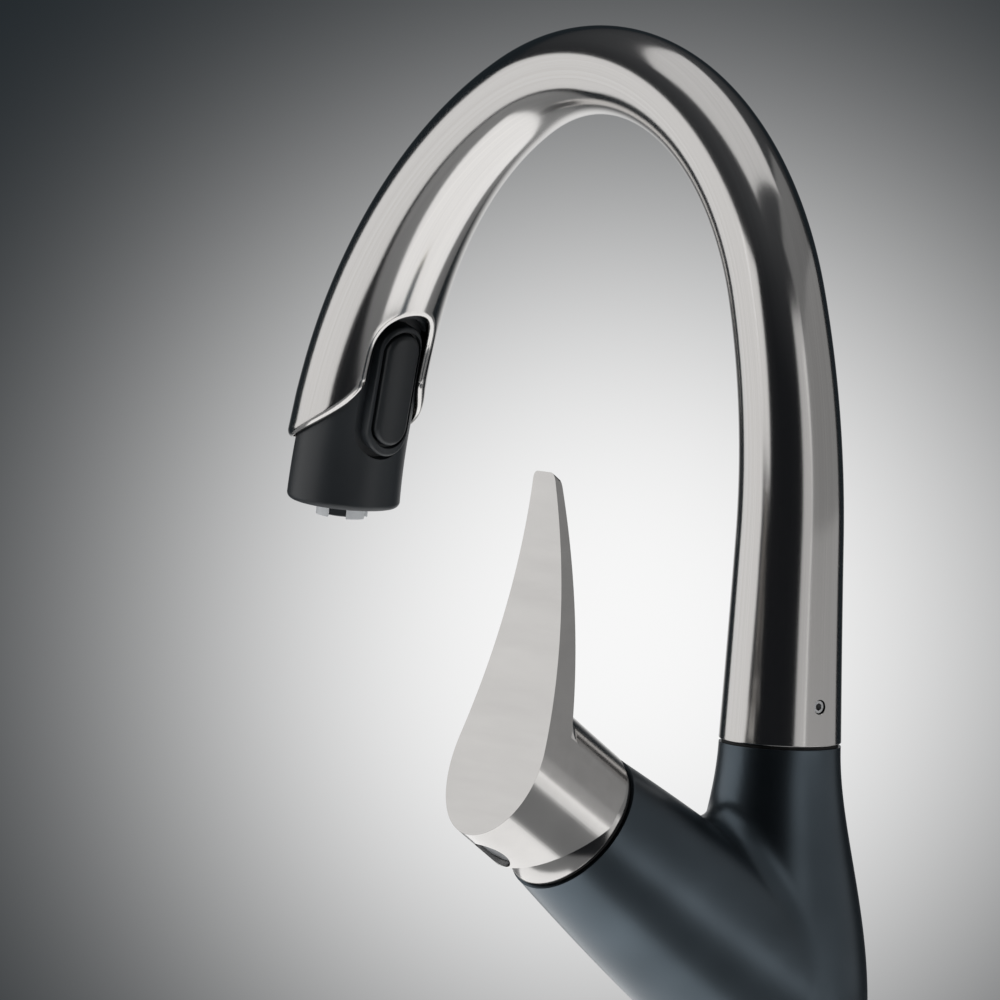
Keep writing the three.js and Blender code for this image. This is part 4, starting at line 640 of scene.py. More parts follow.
def spout_tube():
    """The tube, in rows round it whose columns end at the window or at the slanting end."""
    window_columns, side_columns = 14, 52
    half_count = window_columns + side_columns
    count = 2 * half_count
    upper_rows, arch_rows, end_rows = 190, 16, 40
    foot_rows = (0, 0.03, 0.1, 0.2, 0.3, 0.36)
    top = SPOUT_LENGTH - WINDOW_TOP - 4
    spring = SPOUT_LENGTH - WINDOW_TOP + WINDOW_ARCH

    def turn_of(column, along):
        folded = min(column, count - column)
        half = asin(WINDOW_HALF_WIDTH / spout_radius(max(along, top)))
        if folded <= window_columns:
            turn = half * sin(folded / window_columns * pi / 2)
        else:
            turn = half + (pi - half) * ((folded - window_columns) / side_columns) ** 1.9
        return turn if column <= half_count else -turn

    def end_of(column):
        folded = min(column, count - column)
        if folded < window_columns:
            across = sin(folded / window_columns * pi / 2)
            return spring - WINDOW_ARCH * sqrt(1 - across ** 2)
        along = SPOUT_LENGTH - WINDOW_BOTTOM
        for _ in range(30):
            along = SPOUT_LENGTH - end_height(spout_radius(along) * cos(turn_of(column, along)))
        return along

    def closing(step, steps):
        """Share of the way, with shorter steps towards the cut edge."""
        return 1 - (1 - step / steps) ** 1.8

    open_columns = [c for c in range(count) if min(c, count - c) < window_columns]
    ends = [end_of(column) for column in range(count)]
    rows = [[SPOUT_START + offset] * count for offset in foot_rows]
    for i in range(1, upper_rows + 1):
        rows.append([SPOUT_START + (top - SPOUT_START) * i / upper_rows] * count)
    for i in range(1, arch_rows + 1):
        stops = [ends[c] if c in open_columns else spring for c in range(count)]
        rows.append([top + (stop - top) * closing(i, arch_rows) for stop in stops])
    arch_row = len(rows) - 1
    for i in range(1, end_rows + 1):
        share = closing(i, end_rows)
        rows.append([None if c in open_columns else spring + (ends[c] - spring) * share for c in range(count)])
    last_row = len(rows) - 1

    right, left = window_columns, count - window_columns
    chain = [(arch_row, c) for c in range(left + 1, count)] + [(arch_row, c) for c in range(right)]
    chain += [(row, right) for row in range(arch_row, last_row)]
    chain += [(last_row, c) for c in range(right, left)]
    chain += [(row, left) for row in range(last_row, arch_row - 1, -1)]

    def skin_point(row, column, inset):
        along = rows[row][column]
        return spout_point(along, turn_of(column, along), inset)

    cells = [(r, c) for r, row in enumerate(rows) for c, along in enumerate(row) if along is not None]
    near = [(r, c) for r, c in cells if rows[r][c] > top - 1]
    distances = edge_distances([skin_point(r, c, 0) for r, c in near], [skin_point(r, c, 0) for r, c in chain])
    depth = {(r, c): (0, edge_share(rows[r][c] - SPOUT_START, FOOT_EDGE_WIDTH)) for r, c in cells}
    for cell, distance in zip(near, distances):
        depth[cell] = (lip_depth(distance), edge_share(distance))

    build = bmesh.new()
    uv = build.loops.layers.uv.new("UVMap")
    for inner in (False, True):
        verts = {}
        for r, c in cells:
            lip, share = depth[r, c]
            inset = lip + (SPOUT_WALL * (1 - share / 2) if inner else SPOUT_WALL * share / 2)
            verts[r, c] = build.verts.new(skin_point(r, c, inset) * MM)
        for r in range(last_row):
            for c in range(count):
                corners = [(r, c), (r, c + 1), (r + 1, c + 1), (r + 1, c)]
                keys = [(row, column % count) for row, column in corners]
                if any(key not in verts for key in keys):
                    continue
                face = build.faces.new([verts[key] for key in (keys if inner else keys[::-1])])
                for loop, (row, column) in zip(face.loops, corners if inner else corners[::-1]):
                    along = rows[row][column % count]
                    turn = turn_of(column % count, along) / (2 * pi)
                    loop[uv].uv = (turn + (1 if column > half_count else 0), along * MM)
    clean(build, 5e-7, 1e-8)
    bmesh.ops.recalc_face_normals(build, faces=build.faces)
    mesh = bpy.data.meshes.new("spout")
    build.to_mesh(mesh)
    build.free()
    tube = add("spout", mesh)
    hole = frame_at(CAD, 0, 0, NECK_HEIGHT + SET_SCREW_HEIGHT, -pi / 2, "X")
    bore, mouth = SET_SCREW_HOLE, SET_SCREW_HOLE + SET_SCREW_CHAMFER
    outline = [(0, 12), (bore, 12), (bore, 16.75), (mouth, 17.2), (mouth, 30), (0, 30)]
    cut(tube, revolve("hole", outline, hole, 40))
    return shade(tube, 40)


put(spout_tube(), tube_steel, "spout", "spout_tube")


# ---- body

def column_outline(steps):
    """The column's side from the neck down, as (radius, height) pairs."""
    upper = bezier(
        (NECK_RADIUS, NECK_HEIGHT),
        (NECK_RADIUS + NECK_LEAN, NECK_HEIGHT - NECK_FLARE),
        (BELLY_RADIUS, BELLY_HEIGHT + BELLY_RISE),
        (BELLY_RADIUS, BELLY_HEIGHT),
        steps=steps,
    )
    lower = bezier(
        (BELLY_RADIUS, BELLY_HEIGHT),
        (BELLY_RADIUS, BELLY_HEIGHT - BELLY_FALL),
        (FOOT_RADIUS + FOOT_LEAN, FOOT_HEIGHT + FOOT_FLARE),
        (FOOT_RADIUS, FOOT_HEIGHT),
        steps=steps,
    )
    return upper + lower[1:]


def branch_radius(along):
    share = min(max((along + BRANCH_ROOT_DEPTH) / (BRANCH_MOUTH + BRANCH_ROOT_DEPTH), 0), 1)
    return BRANCH_ROOT_RADIUS - (BRANCH_ROOT_RADIUS - BRANCH_MOUTH_RADIUS) * share ** BRANCH_TAPER


def nearest_on_column(point, curve):
    """Signed distance from the column's skin and the nearest place on it."""
    reach = hypot(point.x, point.y)
    start, stop = curve[:-1], curve[1:]
    along = stop - start
    rest = np.array((reach, point.z)) - start
    share = np.clip((rest * along).sum(1) / (along ** 2).sum(1), 0, 1)
    near = start + along * share[:, None]
    gaps = np.hypot(reach - near[:, 0], point.z - near[:, 1])
    best = int(gaps.argmin())
    place = Vector((point.x * near[best, 0] / reach, point.y * near[best, 0] / reach, near[best, 1]))
    return (gaps[best] if reach > near[best, 0] else -gaps[best]), place


def crotch_fillet(around=120, steps=12, sink=0.25):
    """Rolling-ball fillet between the branch and the column, as a closed ring."""
    curve = np.array(column_outline(80))
    turn_only = BRANCH.to_3x3()
    axis = turn_only @ Vector((0, 0, 1))
    sections = []
    for turn in turns(around):
        out = turn_only @ Vector((-cos(turn), sin(turn), 0))
        radius = BELLY_FILLET + (CROTCH_FILLET - BELLY_FILLET) * ((1 + cos(turn)) / 2) ** 0.7

        def ball(along):
            slope = branch_radius(along - 0.5) - branch_radius(along + 0.5)
            normal = (out + axis * slope).normalized()
            foot = BRANCH @ Vector((0, 0, along)) + out * branch_radius(along)
            return foot, normal, foot + normal * radius

        near, far = -BRANCH_ROOT_DEPTH, BRANCH_MOUTH
        for _ in range(30):
            middle = (near + far) / 2
            if nearest_on_column(ball(middle)[2], curve)[0] > radius:
                far = middle
            else:
                near = middle
        foot, normal, centre = ball(far)
        touch = nearest_on_column(centre, curve)[1]
        start, end = foot - centre, touch - centre
        angle = start.angle(end)
        section = [foot - normal * sink]
        for k in range(steps + 1):
            share = k / steps
            a = sin((1 - share) * angle) / sin(angle)
            b = sin(share * angle) / sin(angle)
            section.append(centre + start * a + end * b)
        section.append(touch + end.normalized() * sink)
        inward = (start.normalized() + end.normalized()).normalized()
        section.append(centre + inward * (radius / cos(angle / 2) + 3))
        sections.append(section)
    return loft("fillet", sections, ring=True)


def body_casting():
    top = NECK_HEIGHT + CASTING_MARGIN
    column = revolve("body", [(0, top), (NECK_RADIUS, top), *column_outline(60), (FOOT_RADIUS, 0), (0, 0)])
    root = [(0, -BRANCH_ROOT_DEPTH)]
    for i in range(41):
        along = -BRANCH_ROOT_DEPTH + (BRANCH_MOUTH + BRANCH_ROOT_DEPTH) * i / 40
        root.append((branch_radius(along), along))
    root += [(BRANCH_MOUTH_RADIUS, CASTING_MARGIN), (0, CASTING_MARGIN)]
    combine(column, revolve("branch", root, BRANCH), "UNION")
    combine(column, crotch_fillet(), "UNION")
    modify(column, "REMESH", mode="VOXEL", voxel_size=CASTING_VOXEL * MM)
    modify(column, "SMOOTH", factor=0.5, iterations=14)
    settle(column)
    far = CUTTER_REACH
    cut(
        column,
        cuboid("above", (-far, -far, NECK_HEIGHT), (far, far, NECK_HEIGHT + far)),
        cuboid("below", (-far, -far, -far), (far, far, FOOT_HEIGHT)),
        cuboid("beyond", (-far, -far, BRANCH_MOUTH), (far, far, far), BRANCH),
        rod("chamber", CHAMBER_RADIUS, CHAMBER_FLOOR, far, BRANCH),
        rod("thread", THREAD_RADIUS, THREAD_DEPTH, far, BRANCH),
        *(rod(name, radius, low, high, Matrix.Translation((x, 0, 0))) for name, radius, low, high, x in BORES),
    )
    return shade(soften(column, 0.35, 2, 50), 40)


put(body_casting(), anthracite, "base", "body")


# ---- lever

def face_point(distance):
    """Place of the lever's face along and across the branch axis, by distance up from its middle."""
    turn = distance / FACE_RADIUS
    up = FACE_RADIUS * sin(turn)
    out = FACE_RADIUS * (1 - cos(turn))
    return (
        FACE_MIDDLE[0] + up * sin(FACE_TILT) + out * cos(FACE_TILT),
        FACE_MIDDLE[1] + up * cos(FACE_TILT) - out * sin(FACE_TILT),
    )


def face_line(start, stop, steps, depth=0.0):
    points = [face_point(start + (stop - start) * i / steps) for i in range(steps + 1)]
    return [(a - depth, e) for a, e in points]


def blade_back(front, e):
    """Distance along the branch axis of the blade's back behind its front, by height over the axis."""
    return front - BLADE_TIP_THICKNESS - BLADE_THICKENING * max(0, face_point(FACE_UP)[1] - e)


def in_branch(outline):
    """Turns pairs along and across the branch axis into the branch frame's X and Z."""
    return [(-e, a) for a, e in outline]


def blade_side():
    face = face_line(-FACE_DOWN - HUB_MARGIN, FACE_UP + HUB_MARGIN, 70)
    return in_branch(face + [(blade_back(a, e), e) for a, e in face[::-1]])


def hub_side():
    low, high = -HUB_DROP - HUB_MARGIN, HUB_RADIUS + HUB_MARGIN
    bevel = (RIM_BEVEL_START - low) * tan(RIM_BEVEL)
    face = face_line(-FACE_DOWN - HUB_MARGIN, 0, 40, BLADE_TIP_THICKNESS)
    rim = [(HUB_RIM, high), (HUB_RIM, RIM_BEVEL_START), (HUB_RIM + bevel, low)]
    return in_branch([*rim, *face, (face[-1][0], high)])


def lever_outline():
    """The lever seen along the branch axis, as (half-width, E) pairs all the way round."""
    tip = face_point(FACE_UP)[1]
    narrow, corner = BLADE_TIP_HALF_WIDTH, BLADE_TIP_ROUND
    half = HUB_HALF_WIDTH * sqrt(1 - (FLANK_START / HUB_DROP) ** 2)
    middle = (FLANK_START + tip) / 2
    flank = bezier((half, FLANK_START), (FLANK_BOW, middle), (narrow, tip - corner), steps=40)
    top = bezier((narrow, tip - corner), (narrow - 0.4, tip), (narrow - corner, tip), steps=10)
    side = flank + top[1:]
    angle = degrees(asin(FLANK_START / HUB_DROP))
    lower = [(HUB_HALF_WIDTH * c, HUB_DROP * s) for c, s in arc((0, 0), 1, 180 - angle, 360 + angle, 90)]
    return side + [(-y, e) for y, e in side[::-1]] + lower[1:-1]


def back_line(e):
    """Distance along the branch axis of the blade's back, by height over the axis."""
    face = face_line(-FACE_DOWN - HUB_MARGIN, FACE_UP + HUB_MARGIN, 70)
    return blade_back(float(np.interp(e, [p[1] for p in face], [p[0] for p in face])), e)


def lever_heel():
    """Fillet where the blade's back meets the top of the hub."""
    sections = []
    for i in range(25):
        y = HEEL_HALF_WIDTH * (2 * i / 24 - 1)
        low = sqrt(HUB_RADIUS ** 2 - y ** 2) - HUB_AXIS_DROP
        corner = Vector((back_line(low), low))
        rise = (Vector((back_line(low + 5), low + 5)) - corner).normalized()
        along = Vector((-1, 0))
        opening = along.angle(rise)
        reach = HEEL_RADIUS / tan(opening / 2)
        centre = corner + (along + rise).normalized() * (HEEL_RADIUS / sin(opening / 2))
        start, stop = corner + along * reach - centre, corner + rise * reach - centre
        swing = start.angle(stop)
        section = [(corner.x + 1.5, low - 0.5), (corner.x - reach, low - 0.5)]
        for k in range(9):
            share = k / 8
            reached = start * sin((1 - share) * swing) + stop * sin(share * swing)
            section.append(tuple(centre + reached / sin(swing)))
        section.append((centre.x + stop.x + 1.5, centre.y + stop.y))
        sections.append([(-e, y, a) for a, e in section])
    return loft("heel", sections, BRANCH)


def lever_piece():
    """The outline drawn along the branch axis, cut to the shapes of blade, hub and heel."""
    outline = lever_outline()
    start, stop = -HUB_MARGIN, 80
    face_on_axis = face_point(-FACE_MIDDLE[1] / cos(FACE_TILT))[0]
    sections = []
    for along in (start, stop):
        draft = max(1 + HUB_DRAFT * (face_on_axis - along), 0.9)
        sections.append([(-e, y * draft, along) for y, e in outline])
    whole = loft("lever_body", sections, BRANCH)
    reach = 2 * HUB_RADIUS
    barrel = rod("barrel", HUB_RADIUS, -HUB_MARGIN, 60, BRANCH @ Matrix.Translation((HUB_AXIS_DROP, 0, 0)), 160)
    hub = combine(prism("hub", hub_side(), -reach, reach, BRANCH), barrel, "INTERSECT")
    inner = combine(prism("blade", blade_side(), -reach, reach, BRANCH), hub, "UNION")
    combine(inner, lever_heel(), "UNION")
    combine(whole, inner, "INTERSECT")
    pocket_radius = DOME_RADIUS + POCKET_GAP
    rise = degrees(asin((POCKET_CEILING + PIVOT_DEPTH) / pocket_radius))
    pocket = [(0, -20), *arc((0, -PIVOT_DEPTH), pocket_radius, 0, rise, 24), (0, POCKET_CEILING)]
    cut(
        whole,
        revolve("pocket", pocket, BRANCH),
        cuboid("socket", (-4.3, -4.3, -25.3), (4.3, 4.3, 25.3), BRANCH),
        rod("grub_bore", 2.8, 0, 20, PLUG, 40),
        rod("plug_seat", 5.5, PLUG_SEAT, 40, PLUG, 48),
    )
    return soften(whole, 0.4, 3, 33)


lever = lever_piece()
put(lever, hub_steel, "lever", "lever")
lever.data.materials.append(face_steel)
face_direction = (BRANCH.to_3x3() @ Vector((-sin(FACE_TILT), 0, cos(FACE_TILT)))).normalized()
for polygon in lever.data.polygons:
    if polygon.normal.dot(face_direction) > 0.9:
        polygon.material_index = 1

plug_outline = [(0, 19.2), (PLUG_RADIUS, 19.2), (PLUG_RADIUS, 19.9)]
plug_outline += [*arc((4.8, 19.9), 0.4, 0, 90, 6), (0, 20.3)]
put(shade(revolve("plug", plug_outline, PLUG, 64)), grey_plastic, "lever", "lever_plug")


# ---- dome ring and gasket

def dome_ring():
    top_radius = sqrt(DOME_RADIUS ** 2 - (DOME_TOP + PIVOT_DEPTH) ** 2)
    low = degrees(asin(PIVOT_DEPTH / DOME_RADIUS))
    high = degrees(acos(top_radius / DOME_RADIUS))
    skirt = 18.9
    outline = [(skirt - 1.8, -3.2), (skirt, -3.2), (skirt, -0.1), (20.5, -0.1)]
    outline += arc((20.5, 0.3), 0.4, -90, 0, 4)
    outline += [*arc((0, -PIVOT_DEPTH), DOME_RADIUS, low, high, 24)[1:], (DOME_HOLE, DOME_TOP)]
    outline += [(DOME_HOLE, DOME_TOP - 1.8), (skirt - 3.4, DOME_TOP - 3), (skirt - 1.8, 1)]
    return shade(revolve("dome", outline, BRANCH))


put(dome_ring(), hub_steel, "base", "dome_ring")
gasket_outline = [(19.2, -1.0), (20.4, -1.0), (20.4, -0.3), (19.2, -0.3)]
put(shade(revolve("gasket", gasket_outline, BRANCH)), black_rubber, "base", "trim_gasket")


# ---- base

def base_ring():
    outer, edge = 27.2, 0.8
    outline = [(16.8, 0), (20.3, 0), (20.3, 2), (24.2, 2), (24.2, 0), (outer - edge, 0), (outer, edge)]
    outline += [*arc((outer - edge, 5 - edge), edge, 0, 90, 8), (16.8, 5)]
    return shade(revolve("base_collar", outline))


put(base_ring(), hub_steel, "base", "base_ring")


# ---- spray head

def spray_section(angle, radius, rise, sides=112):
    """A round cross-section at an angle of the barrel's bend, raised along the barrel's axis there."""
    inward = SPRAY_BEND_RADIUS * (1 - cos(angle))
    centre = Vector((0, inward, SPRAY_BEND_START - SPRAY_BEND_RADIUS * sin(angle)))
    axis = Vector((0, -sin(angle), cos(angle)))
    side = Vector((0, cos(angle), sin(angle)))
    spots = [(radius * sin(a), radius * cos(a)) for a in turns(sides)]
    return [centre + axis * rise + Vector((x, 0, 0)) + side * y for x, y in spots]


def spray_barrel():
    """The spray's outside, which bends towards upright below and ends in a rounded rim."""
    sections = [spray_section(0, SPRAY_SHOULDER_RADIUS, SPRAY_SHOULDER - SPRAY_BEND_START)]
    for i in range(13):
        share = i / 12
        radius = SPRAY_RADIUS + (SPRAY_MOUTH_RADIUS - SPRAY_RADIUS) * share
        sections.append(spray_section(SPRAY_BEND * share, radius, SPRAY_EDGE * share))
    for i in range(1, 9):
        turn = pi / 2 * i / 8
        radius = SPRAY_MOUTH_RADIUS - SPRAY_EDGE * (1 - cos(turn))
        sections.append(spray_section(SPRAY_BEND, radius, SPRAY_EDGE * (1 - sin(turn))))
    return loft("spray", sections, DOCK)


def lean(section):
    """Leans a cross-section of the panel outwards towards the mouth."""
    return [(x, y + PANEL_SLOPE * (BUTTON_MIDDLE - z), z) for x, y, z in section]


def wrap(section):
    """Leans a cross-section and curves it about the spray's axis."""
    return lean([(x, y - PANEL_RADIUS + sqrt(PANEL_RADIUS ** 2 - x ** 2), z) for x, y, z in section])


def pad(name, half, low, high, base, face, bevel, steps=6):
    """A raised pad with a rounded rim, standing on the spray's side."""
    sections = [wrap([(x, base, z) for x, z in stadium(half, low, high)])]
    insets = []
    for i in range(steps + 1):
        turn = pi / 2 * i / steps
        insets.append((bevel * (1 - cos(turn)), face - bevel + bevel * sin(turn)))
    rest = half - bevel - 0.05
    insets += [(bevel + rest * i / steps, face) for i in range(1, steps + 1)]
    for inset, y in insets:
        sections.append(wrap([(x, y, z) for x, z in stadium(half - inset, low + inset, high - inset)]))
    return loft(name, sections, DOCK)


def button_outline(gap):
    """The button's outline with a gap all round."""
    reach = BUTTON_HALF_LENGTH + gap
    return stadium(BUTTON_HALF_WIDTH + gap, BUTTON_MIDDLE - reach, BUTTON_MIDDLE + reach)


def recess(name, outline, floor, bend):
    """A cutting shape from the recess's floor outwards."""
    return loft(name, [bend([(x, y, z) for x, z in outline]) for y in (floor, 40)], DOCK)


def spray_shell():
    shell = spray_barrel()
    tongue_shape = stadium(SPRAY_TONGUE_HALF_WIDTH, -SPRAY_TONGUE_HALF_WIDTH, SPRAY_TONGUE_TOP)
    tongue = prism("tongue", tongue_shape, 0, 40, DOCK)
    combine(tongue, rod("round", SPRAY_TONGUE_RADIUS, 0, SPRAY_TONGUE_TOP + 1, DOCK, 112), "INTERSECT")
    combine(shell, tongue, "UNION")
    combine(shell, rod("plug_body", SPRAY_PLUG_RADIUS, 0, SPRAY_PLUG_TOP, DOCK), "UNION")
    combine(shell, rod("collar", SPRAY_COLLAR_RADIUS, SPRAY_PLUG_TOP - 1, SPRAY_COLLAR_TOP, DOCK), "UNION")
    around = stadium(PAD_HALF_WIDTH + VALLEY_WIDTH, PAD_BOTTOM - 2, PAD_TOP + VALLEY_WIDTH)
    cut(shell, recess("valley", around, VALLEY_FLOOR, lean))
    combine(shell, pad("rim", PAD_HALF_WIDTH, PAD_BOTTOM, PAD_TOP, 0, PAD_FACE, PAD_EDGE), "UNION")
    pocket_floor = BUTTON_FACE - BUTTON_THICKNESS - BUTTON_TRAVEL - BUTTON_GAP
    cut(
        shell,
        recess("channel", button_outline(CHANNEL_WIDTH), PAD_FACE - CHANNEL_DEPTH, wrap),
        rod("mouth", SPRAY_BORE_RADIUS, -5, SPRAY_BORE_DEPTH, MOUTH),
        rod("waterway", SPRAY_WATERWAY_RADIUS, 0, 80, DOCK),
        recess("pocket", button_outline(BUTTON_GAP), pocket_floor, wrap),
    )
    return soften(shell, 0.35, 2, 35)


put(spray_shell(), black_plastic, "spray", "spray_shell")
button = pad(
    "button_cap",
    BUTTON_HALF_WIDTH,
    BUTTON_MIDDLE - BUTTON_HALF_LENGTH,
    BUTTON_MIDDLE + BUTTON_HALF_LENGTH,
    BUTTON_FACE - BUTTON_THICKNESS,
    BUTTON_FACE,
    BUTTON_EDGE,
)
put(shade(button, 40), button_plastic, "button", "spray_button")


def tube_at_mouth(name, inner, outer, low, high):
    return revolve(name, [(inner, low), (outer, low), (outer, high), (inner, high)], MOUTH)


def nozzle_plate():
    low, high = NOZZLE_PLATE_SINK, NOZZLE_PLATE_SINK + NOZZLE_PLATE_THICKNESS
    plate = tube_at_mouth("nozzles", NOZZLE_PLATE_HOLE, NOZZLE_PLATE_RADIUS, low, high)
    for x, y in arc((0, 0), NOZZLE_CIRCLE, 0, 360, NOZZLE_COUNT)[:-1]:
        combine(plate, revolve("cone", NOZZLE, MOUTH @ Matrix.Translation((x, y, 0)), 20), "UNION")
    return shade(plate)


def aerator():
    inner = AERATOR_RADIUS - AERATOR_WALL
    low, high = -AERATOR_DROP, AERATOR_HEIGHT - AERATOR_DROP
    made = tube_at_mouth("aerator", inner, AERATOR_RADIUS, low, high)
    half, reach = AERATOR_NOTCH_WIDTH / 2, 2 * AERATOR_RADIUS
    for i in range(AERATOR_NOTCHES // 2):
        place = MOUTH @ Matrix.Rotation(2 * pi * (i + 0.5) / AERATOR_NOTCHES, 4, "Z")
        cut(made, cuboid("notch", (-reach, -half, low - 4), (reach, half, low + AERATOR_NOTCH_HEIGHT), place))
    return soften(made, 0.2, 2, 35)


def aerator_insert():
    """The dark insert, with ring-shaped steps on its domed face."""
    low = INSERT_RECESS - AERATOR_DROP
    high = AERATOR_HEIGHT - AERATOR_DROP
    outline = [(0, low - 0.4)]
    for radius in INSERT_RINGS:
        ring = ((0, 0.4), (0.2, 0.1), (0.5, 0.1), (0.7, 0.35))
        outline += [(radius + out, low - drop) for out, drop in ring]
    outline += [(INSERT_RADIUS, low), (INSERT_RADIUS, high), (0, high)]
    return shade(revolve("insert", outline, MOUTH, 64))


put(nozzle_plate(), grey_plastic, "spray", "nozzle_plate")
put(aerator(), white_plastic, "spray", "aerator_ring")
put(aerator_insert(), black_plastic, "spray", "aerator_insert")


# ---- hose

def hose_piece(name, line, lengths):
    """A piece of hose along a line, with the woven pattern's places worked out from lengths."""
    side = Vector((1, 0, 0))
    circle = turns(HOSE_SIDES)
    sections = []
    for i, point in enumerate(line):
        ahead = line[min(i + 1, len(line) - 1)] - line[max(i - 1, 0)]
        across = ahead.cross(side).normalized()
        sections.append([point + (side * cos(a) + across * sin(a)) * HOSE_RADIUS for a in circle])
    made = loft(name, sections)
    layer = made.data.uv_layers.new(name="UVMap")
    skin = HOSE_SIDES * (len(line) - 1)
    for polygon in made.data.polygons:
        for loop in polygon.loop_indices:
            row, k = divmod(made.data.loops[loop].vertex_index, HOSE_SIDES)
            if polygon.index < skin and polygon.index % HOSE_SIDES == HOSE_SIDES - 1 and k == 0:
                k = HOSE_SIDES
            along = lengths[row] / (2 * pi * HOSE_RADIUS)
            layer.data[loop].uv = (k / HOSE_SIDES * WEAVE_REPEATS, along * WEAVE_REPEATS)
    made.data.materials.append(braid)
    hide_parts("spray_hose")
    return shade(made, 60)


def hose():
    """A short stretch over the spray, with its woven pattern spread over the pull-out length, and the run
    through the spout.
    """
    up = DOCK.to_3x3() @ Vector((0, 0, 1))
    low, high = DOCK.translation + up * HOSE_LOW, DOCK.translation + up * HOSE_HIGH
    stretch = [low.lerp(high, i / HOSE_STEPS) for i in range(HOSE_STEPS + 1)]
    marks = [PULL_OUT * i / HOSE_STEPS for i in range(HOSE_STEPS + 1)]
    piece = hose_piece("hose_stretch", stretch, marks)
    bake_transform(piece)

    join = SPOUT_LENGTH - HOSE_ENTRY
    knots = []
    for along in np.arange(join, 0, -HOSE_SPACING):
        forward, height, _ = spout_place(along)
        knots.append(Vector((0, -forward, NECK_HEIGHT + height)))
    knots += [Vector((0, 0, height)) for height in (*range(NECK_HEIGHT, HOSE_FOOT, -HOSE_SPACING), HOSE_FOOT)]
    heading = spout_place(join)[2]
    tangent = Vector((0, sin(heading), -cos(heading)))
    pull = (knots[0] - high).length * 0.4
    run = [high]
    for i in range(1, 12):
        w = cubic(i / 12)
        leaving, arriving = high + up * pull, knots[0] - tangent * pull
        run.append(high * w[0] + leaving * w[1] + arriving * w[2] + knots[0] * w[3])
    run += knots
    marks = [PULL_OUT]
    for near, far in zip(run, run[1:]):
        marks.append(marks[-1] + (far - near).length)
    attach(hose_piece("hose_run", run, marks), "spout")


hose()


# ---- studio

CAMERA_PLACE = Vector((804.3, 973.5, NECK_HEIGHT + 143.9)) * MM
CAMERA_RIGHT = Vector((-0.8113, 0.5829, 0.0442))
CAMERA_UP = Vector((-0.0007, -0.0765, 0.9971))
SENSOR_WIDTH = 36
PICTURE_WIDTH = 1000  # in pixels
FOCAL_PIXELS = 4500
BACKDROP_DISTANCE = 1.9
BACKDROP_FOCUS = (625, 640)  # the brightest place of its painted glow, and the reach of its falloff, in pixels
BACKDROP_FALL = 642
BACKDROP_WIDTH, BACKDROP_HEIGHT = 1.5, 1.2
FLOOR_HEIGHT = -0.0625
FLOOR_RADIUS = 0.62
FLOOR_SIDES = 96

camera = add("camera", bpy.data.cameras.new("camera"))
configure(camera.data, sensor_width=SENSOR_WIDTH, lens=FOCAL_PIXELS * SENSOR_WIDTH / PICTURE_WIDTH)
right = CAMERA_RIGHT.normalized()
back = right.cross(CAMERA_UP).normalized()
up = back.cross(right)
camera.matrix_world = Matrix.Translation(CAMERA_PLACE) @ Matrix((right, up, back)).transposed().to_4x4()
scene.camera = camera


def sheet(name, corners, material):
    """A flat piece of the studio, through corners in metres."""
    mesh = bpy.data.meshes.new(name)
    mesh.from_pydata([tuple(c) for c in corners], [], [tuple(range(len(corners)))])
    mesh.materials.append(material)
    add(name, mesh)


def backdrop():
    """A sheet behind the object that glows with a painted pool of light in the middle, falls off to its edges
    and is clear from behind.
    """
    pixel = BACKDROP_DISTANCE / FOCAL_PIXELS
    x, y = ((place - PICTURE_WIDTH / 2) * pixel for place in BACKDROP_FOCUS)
    centre = CAMERA_PLACE - back * BACKDROP_DISTANCE + right * x - up * y
    material = bpy.data.materials.new("backdrop")
    material.use_nodes = True
    tree = material.node_tree
    tree.nodes.clear()
    place = node(tree, "ShaderNodeTexCoord").outputs["Object"]
    offset = node(tree, "ShaderNodeVectorMath", place, tuple(centre), operation="DISTANCE").outputs["Value"]
    power = calculate(tree, "POWER", calculate(tree, "DIVIDE", offset, BACKDROP_FALL * pixel), 2.5)
    level = calculate(tree, "EXPONENT", calculate(tree, "MULTIPLY", power, -2.2))
    mix = node(tree, "ShaderNodeMix", data_type="RGBA")
    # painted light: the sheet emits a bright pool at its focus that fades to dark towards its edges
    fill(tree, mix, Factor=level, A=(0.013, 0.018, 0.022, 1), B=(0.93, 0.93, 0.93, 1))
    glow = node(tree, "ShaderNodeEmission", Strength=1.0, Color=mix.outputs["Result"]).outputs[0]
    clear = node(tree, "ShaderNodeBsdfTransparent").outputs[0]
    behind = node(tree, "ShaderNodeNewGeometry").outputs["Backfacing"]
    choose = node(tree, "ShaderNodeMixShader", behind, glow, clear).outputs[0]
    node(tree, "ShaderNodeOutputMaterial", Surface=choose)
    across = Vector((0, 0, 1)).cross(back).normalized() * (BACKDROP_WIDTH / 2)
    rise = back.cross(across).normalized() * (BACKDROP_HEIGHT / 2)
    corners = [centre + across * x + rise * y for x, y in ((-1, -1), (1, -1), (1, 1), (-1, 1))]
    sheet("backdrop", corners, material)


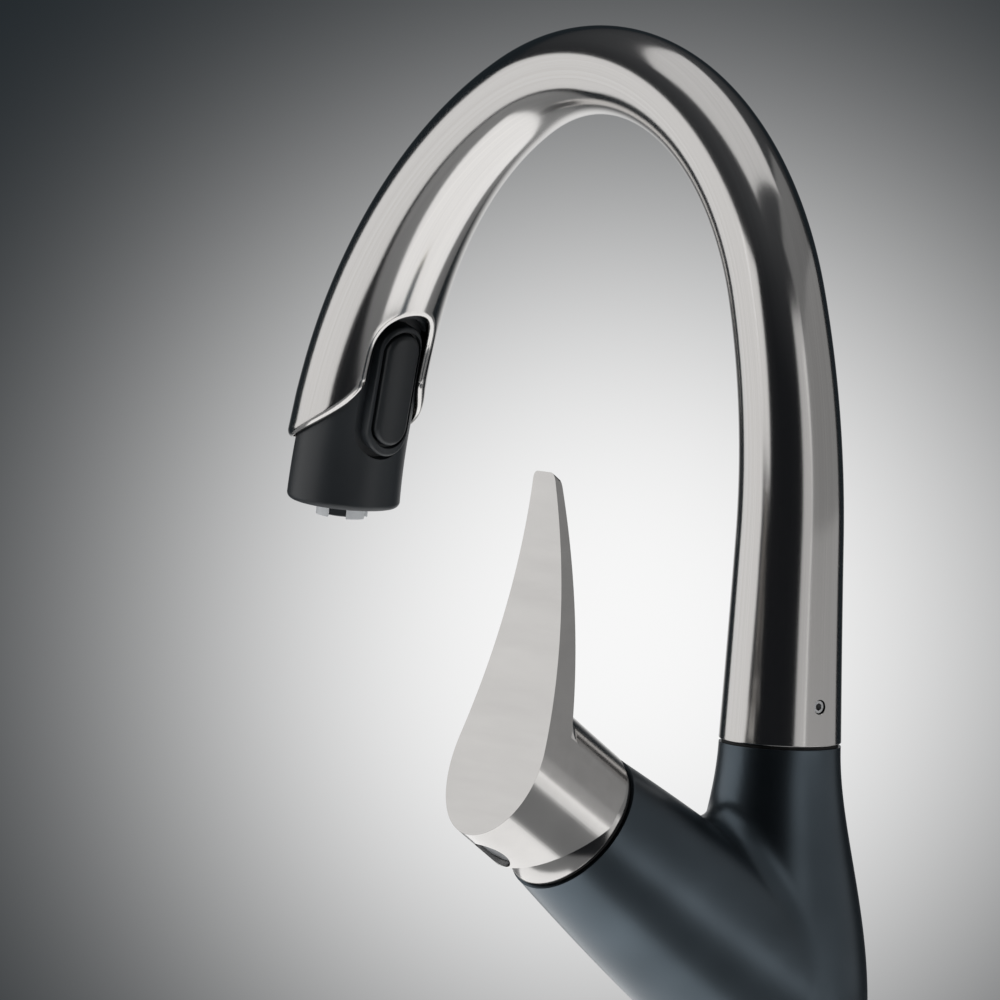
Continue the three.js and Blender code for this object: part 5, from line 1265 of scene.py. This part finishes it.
def floor():
    """A pale round table just under the part."""
    material, tree, surface = shader("floor", (0.66, 0.665, 0.67), 0.0, 0.7)
    source = node(tree, "ShaderNodeTexCoord").outputs["Object"]
    tone = grain(tree, source, (1, 1, 1), size=12.0)
    fill(tree, surface, Base_Color=tint(tree, tone, (0.64, 0.645, 0.65), (0.68, 0.685, 0.69)))
    circle = arc((0, -0.1), FLOOR_RADIUS, 0, 360, FLOOR_SIDES)[:-1]
    sheet("floor", [(x, y, FLOOR_HEIGHT) for x, y in circle], material)


def area_lamp(name, place, direction, width, height, power):
    """A soft rectangular lamp that shines against the direction."""
    data = bpy.data.lights.new(name, "AREA")
    configure(data, shape="RECTANGLE", size=width, size_y=height, energy=power)
    lamp = add(name, data)
    turn = direction.to_track_quat("Z", "Y")
    configure(lamp, location=place, rotation_mode="QUATERNION", rotation_quaternion=turn, visible_camera=False)


def softbox(name, azimuth, elevation, distance, width, height, power):
    """A lamp round the object. Its azimuth runs from the camera's side towards the camera's right."""
    target = Vector((0, -0.1, 0.22))
    toward = Vector((back.x, back.y, 0)).normalized()
    sideways = Vector((right.x, right.y, 0)).normalized()
    a, e = radians(azimuth), radians(elevation)
    direction = (toward * cos(a) + sideways * sin(a)) * cos(e) + Vector((0, 0, sin(e)))
    area_lamp(name, target + direction * distance, direction, width, height, power)


backdrop()
floor()
softbox("left_box", -99, 2.5, 0.95, 1.38, 0.98, 4.15)
softbox("left_front", -53, 14, 0.95, 0.3, 0.36, 0.33)
softbox("right_low", 80, -8, 1.0, 1.6, 0.28, 0.63)
softbox("right_middle", 80, 15, 1.0, 1.6, 0.53, 0.8)
softbox("right_high", 80, 42, 1.0, 1.3, 0.42, 0.3)
softbox("right_edge", 34, 7, 1.0, 0.34, 0.8, 0.56)
softbox("right_front", 56, -26, 1.0, 0.66, 0.5, 1.14)
area_lamp("table_glow", (-0.04, -0.14, -0.0618), Vector((0, 0, -1)), 0.62, 0.48, 0.98)
softbox("top_box", 0, 90, 1.3, 1.4, 1.4, 4.6)

world = bpy.data.worlds.new("world")
world.use_nodes = True
tree = world.node_tree
direction = node(tree, "ShaderNodeSeparateXYZ", node(tree, "ShaderNodeTexCoord").outputs["Generated"])
sky = tint(tree, direction.outputs["Z"], (0.012, 0.013, 0.015), (0.055, 0.058, 0.062))
fill(tree, tree.nodes["Background"], Color=sky)
scene.world = world
scene.view_settings.view_transform = "Standard"
